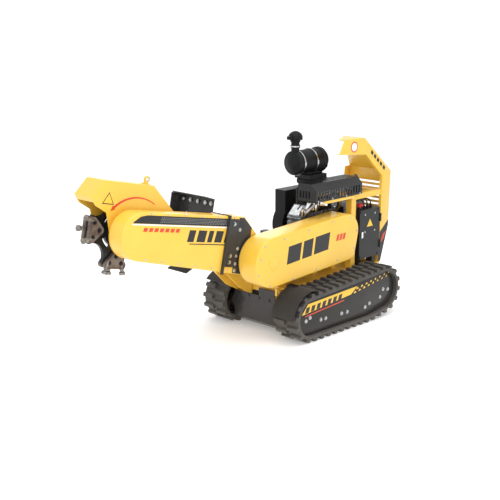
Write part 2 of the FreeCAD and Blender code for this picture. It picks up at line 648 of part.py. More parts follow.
hood_far = -150.0         # right edge of the hood's upright back
visor_x = 176.0           # right edge of the visor
hood_out = [(265, 1270), (490, 1268), (808, 1000), (795, 600), (712, deck_top)]
hood_in = [(680, deck_top), (695, 600), (707, 973), (508, 1148), (210, 1174)]
cheeks = []
cheeks.append(prism_x(hood_out + hood_in, hood_half - 5, hood_half))
cheeks.append(prism_x([(808, 1000), (795, 600), (712, deck_top), (680, deck_top), (695, 600),
                       (745, 1000)], hood_far, hood_far + 5))
sheet_in = [(712 - 5, deck_top), (790, 601), (803, 998), (488.5, 1263), (268, 1265)]
roof = prism_x(hood_out + sheet_in, hood_far, hood_half)
taper_plan = [V(hood_far - 1, 200, 0), V(visor_x, 200, 0), V(visor_x, 265, 0),
              V(hood_far, 800, 0), V(hood_far - 1, 800, 0), V(hood_far - 1, 200, 0)]
taper = Part.Face(Part.makePolygon(taper_plan)).extrude(V(0, 0, 400))
taper.translate(V(0, 0, 1001))
roof = roof.cut(taper)
vents = []
for k in range(9):
    vents.append(box(hood_far + 40, 160, 780, 820, 640 + 32 * k, 654 + 32 * k))
stay_y1 = 800.0           # inside the thickness of the hood's rear wall
stays = [box(leg_x0, leg_x0 + bar_h, bar_y1, stay_y1, bar_z0, post_z1),
         box(post_x0, hood_half - 5, bar_y1, stay_y1, bar_z0, post_z1)]
add("rear_hood", cut(fuse(roof, cheeks, stays), vents))

# hose from the cooler top over to the left rear upright
hose_pts = [V(60, 590, 800), V(60, 590, 860), V(78, 572, 950), V(130, 525, 985),
            V(182, 482, 950), V(199, 468, post_z1 + 40), V(199, 468, post_z1)]
spine = Part.BSplineCurve()
spine.interpolate(hose_pts)
path = Part.Wire([spine.toShape()])
ring = Part.Wire([Part.Circle(hose_pts[0], V(0, 0, 1), 11.0).toShape()])
hose = path.makePipeShell([ring], True, True)
add("hydraulic_hose", cut(hose, box(post_x0, post_x1, post_y0, bar_y1, bar_z0, post_z1)))


# ---- arm, drawn along -Y from the pivot and then raised -----------------
def arm_pt(s, n):
    return (pivot_y - s, pivot_z + n)


def arm_circle(s, n, r):
    return (pivot_y - s, pivot_z + n, r)


def raise_arm(shape):
    out = shape.copy()
    out.rotate(V(0, pivot_y, pivot_z), V(1, 0, 0), -rest_deg)
    return out


def arm_cyl(x0, x1, s, n, r):
    y, z = arm_pt(s, n)
    return cyl_x(x0, x1, y, z, r)


def arm_box(x0, x1, s0, s1, n0, n1):
    return box(x0, x1, pivot_y - s1, pivot_y - s0, pivot_z + n0, pivot_z + n1)


wheel_y, wheel_z = arm_pt(cutter_s, cutter_n)
tip_radius = 145.0
arm_outline = [arm_circle(cutter_s, cutter_n, tip_radius), arm_circle(0, 0, 118.0),
               arm_circle(150, 245, 20.0)]
beam_outline = [arm_circle(cutter_s, cutter_n, 96.0), arm_circle(0, 0, 104.0)]
arm_beam = fuse(hull_x(beam_outline, arm_x0, arm_x1),
                hull_x(arm_outline, arm_x1, guard_open_x),
                arm_cyl(act_x1 + 0.5, arm_x0, 0, 0, 82.0),
                arm_cyl(guard_open_x, guard_open_x + 20, 0, 0, 48.0))
bearing_r = 58.0
windows = [arm_cyl(arm_x0 - 40, arm_x1 + 6, cutter_s, cutter_n, bearing_r),
           arm_cyl(arm_x0 + 2, 40, 0, 0, jack_r + run_fit)]
for k in range(3):
    windows.append(hull_x([arm_circle(760 - 210 * k, 76 - 20 * k, 40.0),
                           arm_circle(700 - 210 * k, 70 - 20 * k, 40.0)],
                          arm_x0 - 1, arm_x1 - 12))
arm_beam = cut(arm_beam, windows)
add("arm_beam", raise_arm(arm_beam))

arm_shell = cut(hull_x(arm_outline, guard_open_x, arm_guard_x),
                hull_x(arm_outline, guard_open_x - 1, arm_guard_x - skin, -skin),
                arm_cyl(arm_guard_x - 10, arm_guard_x + 1, 0, 0, 62.0))
arm_screws = []
for sy, sz, sa in loop_stations(arm_outline, -14.0, 22):
    if sy < pivot_y - 160:
        arm_screws.append(cyl_x(arm_guard_x, arm_guard_x + 3.5, sy, sz, 6.0))
arm_screws.append(arm_cyl(arm_guard_x, arm_guard_x + 5, cutter_s, cutter_n, 44.0))
add("arm_guard", raise_arm(fuse(arm_shell, arm_screws)))

arm_belt_loop = [arm_circle(cutter_s, cutter_n, pulley_r + 0.4), arm_circle(0, 0, pulley_r + 0.4)]
add("arm_belt", raise_arm(cut(hull_x(arm_belt_loop, arm_belt_x0 + 7, arm_belt_x1 - 7, rubber_belt_t),
                              hull_x(arm_belt_loop, arm_belt_x0, arm_belt_x1))))

housing = fuse(arm_cyl(arm_x0, 30, cutter_s, cutter_n, bearing_r - 0.3),
               arm_cyl(-58, arm_x0, cutter_s, cutter_n, 82.0))
housing_bolts = []
for k in range(8):
    a = 2.0 * math.pi * k / 8
    housing_bolts.append(hexagon_x(-64, -58, wheel_y + 70 * math.cos(a),
                                   wheel_z + 70 * math.sin(a), 7.0))
housing = cut(fuse(housing, housing_bolts),
              arm_cyl(-70, 40, cutter_s, cutter_n, cutter_shaft_r + run_fit))
add("cutter_bearing", raise_arm(housing))

# wheel guard: folded sheet round the far side of the arm tip
wg = [(1255, 285), (1180, 392), (800, 392), (560, 205), (520, 60)]
wg_back = [(526, 60), (565.5, 202), (802, 386), (1177, 386), (1250, 282)]
wg_x0 = -196.0
wg_x1 = arm_x0
wg_out = [arm_pt(s, n) for s, n in wg]
wg_in = [arm_pt(s, n) for s, n in wg_back]
hood_strip = prism_x(wg_out + wg_in, wg_x0, wg_x1)
lip_fold = prism_x([arm_pt(1255, 285), arm_pt(1250, 282), arm_pt(1228, 262), arm_pt(1232, 258)],
                   wg_x0, wg_x1)
side_poly = [arm_pt(s, n) for s, n in wg + [(600, 40), (850, 20), (1090, 95), (1130, 205), (1215, 240)]]
near_side = prism_x(side_poly, wg_x1 - 5, wg_x1)
near_side = near_side.cut(arm_cyl(wg_x1 - 10, wg_x1 + 1, cutter_s, cutter_n, 104.0))
far_side = prism_x(side_poly, wg_x0, wg_x0 + 5).cut(arm_cyl(wg_x0 - 1, wg_x0 + 9, cutter_s, cutter_n, 90.0))
wg_bolts = [arm_cyl(wg_x0 - 5, wg_x0, s, n, 8.0) for s, n in ((600, 120), (700, 60), (820, 340), (1150, 340))]
add("wheel_guard", raise_arm(fuse(hood_strip, lip_fold, near_side, far_side, wg_bolts)))

eye_s = 790.0
eye_y, eye_z = arm_pt(eye_s, 392.0)
eye_base = box(-140, -96, eye_y - 24, eye_y + 20, eye_z, eye_z + 6)
eye_plate = fuse(box(-124, -112, eye_y - 20, eye_y + 16, eye_z + 6, eye_z + 26),
                 cyl_x(-124, -112, eye_y - 2, eye_z + 30, 20.0))
eye = cut(fuse(eye_base, eye_plate), cyl_x(-125, -111, eye_y - 2, eye_z + 30, 11.0),
          box(-150, -90, eye_y + 8, eye_y + 30, eye_z - 2, eye_z + 60))
add("lifting_eye", raise_arm(eye))

# shield across the arm root
sh_s = 290.0
sh_t = 8.0
main = arm_box(-330, 152, sh_s, sh_s + sh_t, -55, 350)
near_drop = arm_box(arm_guard_x, 152, sh_s, sh_s + sh_t, -110, -55)
arm_hole = [arm_box(arm_x0, arm_guard_x, sh_s - 1, sh_s + sh_t + 1, -140, 262)]
wing_edge = -20.0
top_fold = prism_x([arm_pt(sh_s, 350), arm_pt(sh_s, 342), arm_pt(sh_s + 90, 352),
                    arm_pt(sh_s + 90, 360)], -330, wing_edge)
near_clear = arm_box(wing_edge, 153, sh_s - 1, sh_s + sh_t + 1, 268, 352)
far_fold = arm_box(-338, -330, sh_s, sh_s + 90, 120, 350)
cheek = arm_box(arm_guard_x, arm_guard_x + 8, 196, sh_s, -62, 240)
rib = prism_x([arm_pt(sh_s, 250), arm_pt(sh_s, -40), arm_pt(sh_s - 80, -20), arm_pt(sh_s - 80, 80)],
              -47, arm_x0)
sh_bolts = []
for n in (-30.0, 10.0, 215.0):
    sh_bolts.append(arm_cyl(arm_guard_x + 8, arm_guard_x + 15, 240, n, 10.0))
for bx in (-300.0, -230.0, -160.0, -90.0, -36.0):
    yb, zb = arm_pt(sh_s + sh_t + 6.0, 318)
    sh_bolts.append(cyl_y(yb, yb + 6, bx, zb, 10.0))
for bx in (-200.0, -140.0, -80.0):
    yb, zb = arm_pt(sh_s + sh_t + 6.0, -20)
    sh_bolts.append(cyl_y(yb, yb + 6, bx, zb, 9.0))
shield = cut(fuse(main.cut(near_clear), near_drop, top_fold, far_fold, cheek, rib), arm_hole)
add("shield", raise_arm(fuse(shield, sh_bolts)))
apron = prism_x([arm_pt(sh_s + sh_t, -55), arm_pt(sh_s, -55), arm_pt(420, -142), arm_pt(426, -136)],
                -226, -48)
add("shield_apron", raise_arm(apron))

# cutter
cutter_shaft = fuse(arm_cyl(-140, 112, cutter_s, cutter_n, cutter_shaft_r),
                    arm_cyl(disc_x1, -66, cutter_s, cutter_n, 62.0))
pulley_cut = arm_cyl(arm_belt_x0 - 1, arm_belt_x1 + 1, cutter_s, cutter_n, cutter_shaft_r)
cutter_pulley = pulley_x(arm_belt_x0, arm_belt_x1, wheel_y, wheel_z, pulley_r, 0)
add("cutter_shaft", raise_arm(cutter_shaft))
add("cutter_pulley", raise_arm(cutter_pulley.cut(pulley_cut)))

disc = arm_cyl(disc_x0, disc_x1, cutter_s, cutter_n, 216.0)
scallops = []
slots = []
for k in range(lobes):
    a = 2.0 * math.pi * (k + 0.5) / lobes
    scallops.append(cyl_x(disc_x0 - 1, disc_x1 + 1, wheel_y + 232 * math.cos(a),
                          wheel_z + 232 * math.sin(a), 84.0))
    slot = ring_x(disc_x0 - 1, disc_x1 + 1, wheel_y, wheel_z, 116.0, 96.0)
    wedge = [(wheel_y, wheel_z)]
    for d in (-20, -10, 0, 10, 20):
        b = a + math.radians(d)
        wedge.append((wheel_y + 200 * math.cos(b), wheel_z + 200 * math.sin(b)))
    slots.append(slot.common(prism_x(wedge, disc_x0 - 1, disc_x1 + 1)))
disc = cut(disc, scallops, slots, arm_cyl(disc_x0 - 1, disc_x1 + 1, cutter_s, cutter_n, cutter_shaft_r))
for k in range(6):
    a = 2.0 * math.pi * k / 6 + 0.2
    disc = disc.fuse(hexagon_x(disc_x0 - 8, disc_x0, wheel_y + 52 * math.cos(a),
                               wheel_z + 52 * math.sin(a), 10.0))

teeth = []
holders = []
for k in range(lobes):
    a = 2.0 * math.pi * k / lobes
    for side in (-1, 1):
        x_in = disc_x1 if side > 0 else disc_x0
        x_out = x_in + side * holder_t
        lo = min(x_in, x_out)
        hi = max(x_in, x_out)
        plan = []
        for r, d, rad in ((208.0, -15.0, 24.0), (208.0, 15.0, 24.0), (146.0, 0.0, 26.0)):
            b = a + math.radians(d)
            plan.append((wheel_y + r * math.cos(b), wheel_z + r * math.sin(b), rad))
        holder = hull_x(plan, lo, hi)
        for r, d in ((150.0, 0.0), (196.0, -13.0), (196.0, 13.0)):
            b = a + math.radians(d)
            bolt_lo = hi if side > 0 else lo - 8
            holder = holder.fuse(hexagon_x(bolt_lo, bolt_lo + 8, wheel_y + r * math.cos(b),
                                           wheel_z + r * math.sin(b), 10.0))
        for d in (-15.0, 0.0, 15.0):
            if (d == 0.0) == (side > 0):
                continue
            b = a + math.radians(d)
            shank = Part.makeCylinder(10.0, 60.0, V(0.5 * (lo + hi), 0, 186.0), V(0, 0, 1))
            head = Part.makeCylinder(19.0, 16.0, V(0.5 * (lo + hi), 0, tip_r - 18.0), V(0, 0, 1))
            dome = Part.makeCylinder(11.0, 10.0, V(0.5 * (lo + hi), 0, tip_r - 27.0), V(0, 0, 1))
            tooth = shank.fuse([head, dome]).removeSplitter()
            tooth = tooth.fuse(Part.makeCylinder(10.0, 30.0, V(0.5 * (lo + hi), 0, tip_r - 48.0), V(0, 0, 1)))
            tooth.rotate(V(0, 0, 0), V(1, 0, 0), math.degrees(b) - 90.0)
            tooth.translate(V(0, wheel_y, wheel_z))
            teeth.append(tooth.removeSplitter())
        holders.append(holder)
holder_set = Part.makeCompound([h.cut(teeth) for h in holders])
tooth_set = Part.makeCompound(teeth)
add("cutter_disc", raise_arm(disc.removeSplitter()))
add("tooth_holders", raise_arm(holder_set))
add("cutter_teeth", raise_arm(tooth_set))

# ---- common placing: origin at the bottom centre of the whole machine ----
lo_x = min(s.BoundBox.XMin for s in shapes.values())
hi_x = max(s.BoundBox.XMax for s in shapes.values())
lo_y = min(s.BoundBox.YMin for s in shapes.values())
hi_y = max(s.BoundBox.YMax for s in shapes.values())
lo_z = min(s.BoundBox.ZMin for s in shapes.values())
shift = V(-0.5 * (lo_x + hi_x), -0.5 * (lo_y + hi_y), -lo_z)
for name in sorted(shapes):
    shape = shapes[name].copy()
    shape.translate(shift)
    if not shape.isValid():
        print("not valid", name)
    shape.exportStep("parts/" + name + ".step")
print("nodes", len(shapes), "shift", shift)
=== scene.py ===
import bpy
import bmesh
import math
from mathutils import Matrix, Vector


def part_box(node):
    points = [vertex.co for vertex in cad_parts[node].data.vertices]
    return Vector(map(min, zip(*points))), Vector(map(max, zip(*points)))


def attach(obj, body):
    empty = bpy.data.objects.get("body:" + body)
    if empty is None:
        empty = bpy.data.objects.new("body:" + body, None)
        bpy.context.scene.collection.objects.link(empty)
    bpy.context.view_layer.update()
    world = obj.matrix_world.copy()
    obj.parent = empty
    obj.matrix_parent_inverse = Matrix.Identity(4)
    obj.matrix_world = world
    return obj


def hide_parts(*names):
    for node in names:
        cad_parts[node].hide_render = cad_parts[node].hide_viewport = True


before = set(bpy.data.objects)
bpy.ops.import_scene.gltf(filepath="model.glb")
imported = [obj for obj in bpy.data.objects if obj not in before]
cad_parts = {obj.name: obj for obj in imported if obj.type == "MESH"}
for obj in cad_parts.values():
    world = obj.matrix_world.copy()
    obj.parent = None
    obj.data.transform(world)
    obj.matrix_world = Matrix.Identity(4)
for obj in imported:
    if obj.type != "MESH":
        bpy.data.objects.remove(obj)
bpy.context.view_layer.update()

# ---- places taken from the frame, in metres --------------------------------
shaft_lo, shaft_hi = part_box("jackshaft")
pivot = Vector((0.0, 0.5 * (shaft_lo[1] + shaft_hi[1]), 0.5 * (shaft_lo[2] + shaft_hi[2])))
shift_y = pivot.y + 0.520
arm_rest = math.radians(12.0)


def at(x, y, z):
    """A place given in the drawing's millimetres."""
    return Vector((x / 1000.0, y / 1000.0 + shift_y, z / 1000.0))


# ---- colours and nodes -----------------------------------------------------
def hex_linear(text):
    values = []
    for k in (0, 2, 4):
        c = int(text[k:k + 2], 16) / 255.0
        values.append(c / 12.92 if c <= 0.04045 else ((c + 0.055) / 1.055) ** 2.4)
    return (values[0], values[1], values[2], 1.0)


def add_node(tree, kind, settings=None, links=None):
    """Adds one node; settings are properties or input values, links are input: output socket."""
    made = tree.nodes.new(kind)
    for key, value in (settings or {}).items():
        if isinstance(key, int) or key in made.inputs:
            made.inputs[key].default_value = value
        else:
            setattr(made, key, value)
    for key, socket in (links or {}).items():
        tree.links.new(socket, made.inputs[key])
    return made


def new_finish(name, metallic, ior, coat=0.0, coat_rough=0.1, sheen=0.0):
    mat = bpy.data.materials.new(name)
    mat.use_nodes = True
    tree = mat.node_tree
    shader = tree.nodes["Principled BSDF"]
    shader.inputs["Metallic"].default_value = metallic
    shader.inputs["IOR"].default_value = ior
    shader.inputs["Coat Weight"].default_value = coat
    shader.inputs["Coat Roughness"].default_value = coat_rough
    shader.inputs["Sheen Weight"].default_value = sheen
    place = add_node(tree, "ShaderNodeTexCoord").outputs["Object"]
    return mat, tree, shader, place


def two_tone(tree, place, scale, low, high, dark, light, detail=6.0, rough=0.6):
    """Noise of the given scale between two hex colours; returns the colour and the noise."""
    noise = add_node(tree, "ShaderNodeTexNoise",
                     {"Scale": scale, "Detail": detail, "Roughness": rough}, {"Vector": place})
    ramp = add_node(tree, "ShaderNodeValToRGB", {}, {"Fac": noise.outputs["Fac"]})
    ramp.color_ramp.elements[0].position = low
    ramp.color_ramp.elements[1].position = high
    ramp.color_ramp.elements[0].color = hex_linear(dark)
    ramp.color_ramp.elements[1].color = hex_linear(light)
    return ramp.outputs["Color"], noise.outputs["Fac"]


def spread(tree, value, low, high):
    return add_node(tree, "ShaderNodeMapRange", {"To Min": low, "To Max": high},
                    {"Value": value}).outputs["Result"]


def relief(tree, shader, height, strength, distance):
    bump = add_node(tree, "ShaderNodeBump", {"Strength": strength, "Distance": distance},
                    {"Height": height})
    tree.links.new(bump.outputs["Normal"], shader.inputs["Normal"])
    return bump


def grime(tree, place, base, dirt, amount, low_z, high_z):
    """Dust that settles towards the ground and in soft patches."""
    split = add_node(tree, "ShaderNodeSeparateXYZ", {}, {"Vector": place})
    height = add_node(tree, "ShaderNodeMapRange", {"From Min": low_z, "From Max": high_z,
                      "To Min": amount, "To Max": 0.0}, {"Value": split.outputs["Z"]})
    patch = add_node(tree, "ShaderNodeTexNoise", {"Scale": 9.0, "Detail": 8.0, "Roughness": 0.7},
                     {"Vector": place})
    power = add_node(tree, "ShaderNodeMath", {"operation": "MULTIPLY"},
                     {0: height.outputs["Result"], 1: patch.outputs["Fac"]})
    mix = add_node(tree, "ShaderNodeMix", {"data_type": "RGBA"}, {"Factor": power.outputs[0]})
    tree.links.new(base, mix.inputs[6])
    mix.inputs[7].default_value = hex_linear(dirt)
    return mix.outputs[2]


# powder coat: a thick even plastic skin, faint orange peel about 2 mm across
def powder_coat(name, dark, light, rough, peel):
    mat, tree, shader, place = new_finish(name, 0.0, 1.5, 0.35, 0.12)
    colour, cloud = two_tone(tree, place, 3.0, 0.35, 0.7, dark, light)
    skin = add_node(tree, "ShaderNodeTexNoise", {"Scale": 420.0, "Detail": 2.0}, {"Vector": place})
    colour = grime(tree, place, colour, "6b5f4c", 0.25, 0.0, 0.5)
    tree.links.new(colour, shader.inputs["Base Color"])
    tree.links.new(spread(tree, cloud, rough - 0.05, rough + 0.09), shader.inputs["Roughness"])
    relief(tree, shader, skin.outputs["Fac"], peel, 0.0006)
    return mat


# moulded rubber: matt, greyed by dust, fine grit left by the mould
def moulded_rubber(name, dark, light, dust):
    mat, tree, shader, place = new_finish(name, 0.0, 1.52, 0.0, 0.2, 0.12)
    colour, cloud = two_tone(tree, place, 14.0, 0.3, 0.75, dark, light, 9.0, 0.7)
    grit = add_node(tree, "ShaderNodeTexNoise", {"Scale": 260.0, "Detail": 6.0}, {"Vector": place})
    colour = grime(tree, place, colour, "7d746a", dust, 0.0, 0.45)
    tree.links.new(colour, shader.inputs["Base Color"])
    tree.links.new(spread(tree, cloud, 0.62, 0.88), shader.inputs["Roughness"])
    relief(tree, shader, grit.outputs["Fac"], 0.35, 0.001)
    return mat


# sand-cast or forged metal: pebbled skin of about 1 mm with darker hollows
def cast_metal(name, dark, light, metallic, rough, grain):
    mat, tree, shader, place = new_finish(name, metallic, 1.5)
    colour, cloud = two_tone(tree, place, 22.0, 0.3, 0.72, dark, light, 8.0, 0.65)
    pebble = add_node(tree, "ShaderNodeTexVoronoi", {"Scale": grain}, {"Vector": place})
    tree.links.new(colour, shader.inputs["Base Color"])
    tree.links.new(spread(tree, cloud, rough - 0.12, rough + 0.14), shader.inputs["Roughness"])
    relief(tree, shader, pebble.outputs["Distance"], 0.4, 0.0008)
    return mat


# turned or brushed steel: fine lines across the part
def brushed_metal(name, dark, light, rough, stretch):
    mat, tree, shader, place = new_finish(name, 1.0, 1.5)
    lay = add_node(tree, "ShaderNodeMapping", {"Scale": stretch}, {"Vector": place})
    colour, lines = two_tone(tree, lay.outputs["Vector"], 40.0, 0.35, 0.65, dark, light, 4.0)
    tree.links.new(colour, shader.inputs["Base Color"])
    tree.links.new(spread(tree, lines, rough - 0.07, rough + 0.1), shader.inputs["Roughness"])
    relief(tree, shader, lines, 0.15, 0.0004)
    return mat


# moulded engine plastic: spark-eroded grain of about 1 mm
def grained_plastic(name, dark, light, rough):
    mat, tree, shader, place = new_finish(name, 0.0, 1.46)
    colour, cloud = two_tone(tree, place, 6.0, 0.3, 0.75, dark, light)
    grain = add_node(tree, "ShaderNodeTexVoronoi", {"Scale": 520.0}, {"Vector": place})
    tree.links.new(colour, shader.inputs["Base Color"])
    tree.links.new(spread(tree, cloud, rough - 0.06, rough + 0.1), shader.inputs["Roughness"])
    relief(tree, shader, grain.outputs["Distance"], 0.25, 0.0005)
    return mat


# vinyl film: smooth, slightly glossy, with a trace of dust
def vinyl_film(name, dark, light, rough=0.3):
    mat, tree, shader, place = new_finish(name, 0.0, 1.5)
    colour, cloud = two_tone(tree, place, 8.0, 0.3, 0.8, dark, light)
    tree.links.new(colour, shader.inputs["Base Color"])
    tree.links.new(spread(tree, cloud, rough - 0.05, rough + 0.1), shader.inputs["Roughness"])
    return mat


yellow = powder_coat("powder_coat_yellow", "e9ba3e", "f1c248", 0.36, 0.12)
# darker copy of the yellow powder coat: painted shade for yellow faces that lie in shadow
yellow_painted_shade = powder_coat("powder_coat_yellow_painted_shade", "cf9c2e", "dca83a", 0.44, 0.2)
anthracite = powder_coat("powder_coat_anthracite", "161718", "222325", 0.42, 0.3)
graphite = powder_coat("powder_coat_graphite", "2a2b2d", "393a3c", 0.40, 0.3)
track_rubber = moulded_rubber("track_rubber", "252526", "4a4540", 0.5)
flap_rubber = moulded_rubber("flap_rubber", "1d1b1a", "2c2927", 0.25)
belt_rubber = moulded_rubber("belt_rubber", "161616", "242424", 0.1)
forged = cast_metal("forged_tooth_steel", "5a4f49", "8d8178", 0.55, 0.5, 420.0)
carbide = cast_metal("tooth_head_carbide", "6f6a66", "aaa39c", 0.85, 0.38, 600.0)
casting = cast_metal("engine_casting", "7f8184", "b4b6b8", 0.8, 0.42, 500.0)
dark_casting = cast_metal("dark_engine_casting", "1f2022", "34363a", 0.3, 0.5, 500.0)
zinc = brushed_metal("zinc_plated_steel", "a9abae", "d6d7d9", 0.28, (1.0, 1.0, 6.0))
steel = brushed_metal("turned_steel", "8a8c8f", "b9bbbe", 0.3, (14.0, 1.0, 1.0))
chrome = brushed_metal("chrome_plate", "d4d6d8", "f2f3f4", 0.12, (1.0, 1.0, 1.0))
engine_plastic = grained_plastic("grained_black_plastic", "101112", "1b1c1e", 0.45)
red_plastic = grained_plastic("red_push_button", "b3140e", "cf1d14", 0.28)
black_vinyl = vinyl_film("black_vinyl_film", "131314", "1e1e20", 0.32)
white_vinyl = vinyl_film("white_vinyl_film", "e4e4e2", "f4f4f2")
red_vinyl = vinyl_film("red_vinyl_film", "c8371c", "dd4a28")
yellow_vinyl = vinyl_film("yellow_vinyl_film", "eebc34", "f6c640")
silver_vinyl = vinyl_film("silver_vinyl_film", "9a9a9c", "b5b5b6")

# the black finishes are matte: they mirror less of the white room than bare plastic would
matte_mirror = 0.2
for matte in (anthracite, graphite, flap_rubber, engine_plastic, dark_casting):
    shader = matte.node_tree.nodes["Principled BSDF"]
    shader.inputs["Specular IOR Level"].default_value = matte_mirror

node_finish = {
    "belt_guard": yellow, "arm_guard": yellow, "wheel_guard": yellow, "rear_hood": yellow,
    # the guard's back plate takes the darker yellow copy: painted shade
    "lifting_eye": yellow, "chassis_frame": yellow, "guard_back_plate": yellow_painted_shade,
    "arm_beam": yellow, "rear_frame": yellow,
    "fender_bracket_left": anthracite, "fender_bracket_right": anthracite,
    "shield": graphite, "front_plate": graphite, "track_cover_left": anthracite,
    "track_cover_right": anthracite, "track_frame_left": anthracite,
    "track_frame_right": anthracite, "control_box": anthracite, "box_door": anthracite,
    "muffler_guard": anthracite, "rotary_actuator": anthracite, "cutter_disc": anthracite,
    "hydraulic_tank": anthracite, "intake_duct": dark_casting, "arm_belt": belt_rubber,
    "drive_belt": belt_rubber, "hydraulic_hose": belt_rubber, "shield_apron": flap_rubber,
    "fender_flap_left": flap_rubber, "fender_flap_right": flap_rubber,
    "engine_block": casting, "oil_cooler": casting, "blower_housing": engine_plastic,
    "air_cleaner": engine_plastic, "precleaner_cap": engine_plastic, "fuel_tank": engine_plastic,
    "cooler_fan": engine_plastic, "fuel_cap": engine_plastic, "hydraulic_cap": engine_plastic,
    "jackshaft": steel, "crank_pulley": steel, "cutter_shaft": steel, "cutter_pulley": steel,
    "cutter_bearing": dark_casting, "muffler": steel, "tooth_holders": forged,
    "cutter_teeth": carbide, "door_latch": chrome, "emergency_stop": red_plastic,
    "oil_filter": white_vinyl,
}
for side in ("left", "right"):
    node_finish["rubber_track_" + side] = track_rubber
    for wheel in ("idler_", "sprocket_", "roller_front_", "roller_rear_"):
        node_finish[wheel + side] = anthracite
for node_name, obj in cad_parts.items():
    obj.data.materials.clear()
    obj.data.materials.append(node_finish[node_name])


# ---- modelling helpers -----------------------------------------------------
def begin(mode="OBJECT"):
    if bpy.context.mode != "OBJECT":
        bpy.ops.object.mode_set(mode="OBJECT")
    bpy.ops.object.select_all(action="DESELECT")


def settle(obj):
    """Leaves the object at the origin, unturned and unscaled."""
    begin()
    bpy.context.view_layer.objects.active = obj
    obj.select_set(True)
    bpy.ops.object.transform_apply(location=True, rotation=True, scale=True)
    return obj


def pick_faces(obj, test):
    """Selects, in edit mode, the faces whose centre and normal pass the test."""
    bpy.ops.object.mode_set(mode="EDIT")
    bpy.ops.mesh.select_mode(type="FACE")
    bpy.ops.mesh.select_all(action="DESELECT")
    mesh = bmesh.from_edit_mesh(obj.data)
    for face in mesh.faces:
        face.select = bool(test(face.calc_center_median(), face.normal))
    mesh.select_flush_mode()
    bmesh.update_edit_mesh(obj.data)


def soften(obj, width, segments=2, limit=30.0):
    begin()
    bpy.context.view_layer.objects.active = obj
    obj.select_set(True)
    mod = obj.modifiers.new("rounded_edges", "BEVEL")
    mod.width = width
    mod.segments = segments
    mod.limit_method = "ANGLE"
    mod.angle_limit = math.radians(limit)
    mod.use_clamp_overlap = True
    bpy.ops.object.modifier_apply(modifier=mod.name)
    bpy.ops.object.shade_smooth_by_angle(angle=math.radians(35.0))
    return obj


def name_it(obj, name, finish, body):
    obj.name = name
    obj.data.name = name
    obj.data.materials.clear()
    obj.data.materials.append(finish)
    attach(obj, body)
    return obj


def join(objs):
    begin()
    for o in objs:
        o.select_set(True)
    bpy.context.view_layer.objects.active = objs[0]
    bpy.ops.object.join()
    return bpy.context.view_layer.objects.active


def outline_plate(points, x0, x1, edge=0.0, segments=2):
    """A plate across X: a circle primitive whose corners go to the outline, then extruded."""
    begin()
    bpy.ops.mesh.primitive_circle_add(vertices=len(points), fill_type="NGON", radius=1.0)
    obj = bpy.context.object
    for vert, (y, z) in zip(obj.data.vertices, points):
        vert.co = at(x0, y, z)
    bpy.ops.object.mode_set(mode="EDIT")
    bpy.ops.mesh.select_all(action="SELECT")
    bpy.ops.mesh.extrude_region_move(TRANSFORM_OT_translate={"value": ((x1 - x0) / 1000.0, 0, 0)})
    bpy.ops.mesh.select_all(action="SELECT")
    bpy.ops.mesh.normals_make_consistent(inside=False)
    bpy.ops.object.mode_set(mode="OBJECT")
    if edge > 0:
        soften(obj, edge / 1000.0, segments)
    return obj


def plan_block(points, z0, z1):
    """A block across Z with the outline (x, y), used as a cutting tool."""
    begin()
    bpy.ops.mesh.primitive_circle_add(vertices=len(points), fill_type="NGON", radius=1.0)
    obj = bpy.context.object
    for vert, (x, y) in zip(obj.data.vertices, points):
        vert.co = at(x, y, z0)
    bpy.ops.object.mode_set(mode="EDIT")
    bpy.ops.mesh.select_all(action="SELECT")
    bpy.ops.mesh.extrude_region_move(TRANSFORM_OT_translate={"value": (0, 0, (z1 - z0) / 1000.0)})
    bpy.ops.mesh.select_all(action="SELECT")
    bpy.ops.mesh.normals_make_consistent(inside=False)
    bpy.ops.object.mode_set(mode="OBJECT")
    return obj


def carve(obj, tool, name):
    """Cuts the tool out of the object and removes the tool."""
    begin()
    bpy.context.view_layer.objects.active = obj
    obj.select_set(True)
    mod = obj.modifiers.new(name, "BOOLEAN")
    mod.operation = "DIFFERENCE"
    mod.object = tool
    bpy.ops.object.modifier_apply(modifier=mod.name)
    bpy.data.objects.remove(tool)


def round_outline(circles, extra=0.0, step=8.0):
    """Outline in drawing millimetres that wraps the circles (y, z, r), given counter-clockwise."""
    count = len(circles)
    sides = []
    for i in range(count):
        y1, z1, r1 = circles[i]
        y2, z2, r2 = circles[(i + 1) % count]
        gap = math.hypot(y2 - y1, z2 - z1)
        turn = math.asin((r1 - r2) / gap)
        sides.append(math.atan2(z2 - z1, y2 - y1) - math.pi / 2 + turn)
    points = []
    for i in range(count):
        y, z, r = circles[i]
        a0 = sides[i - 1]
        a1 = sides[i]
        while a1 < a0 - 1e-9:
            a1 += 2.0 * math.pi
        steps = max(1, int(math.degrees(a1 - a0) / step))
        for k in range(steps + 1):
            a = a0 + (a1 - a0) * k / steps
            points.append((y + (r + extra) * math.cos(a), z + (r + extra) * math.sin(a)))
    return points


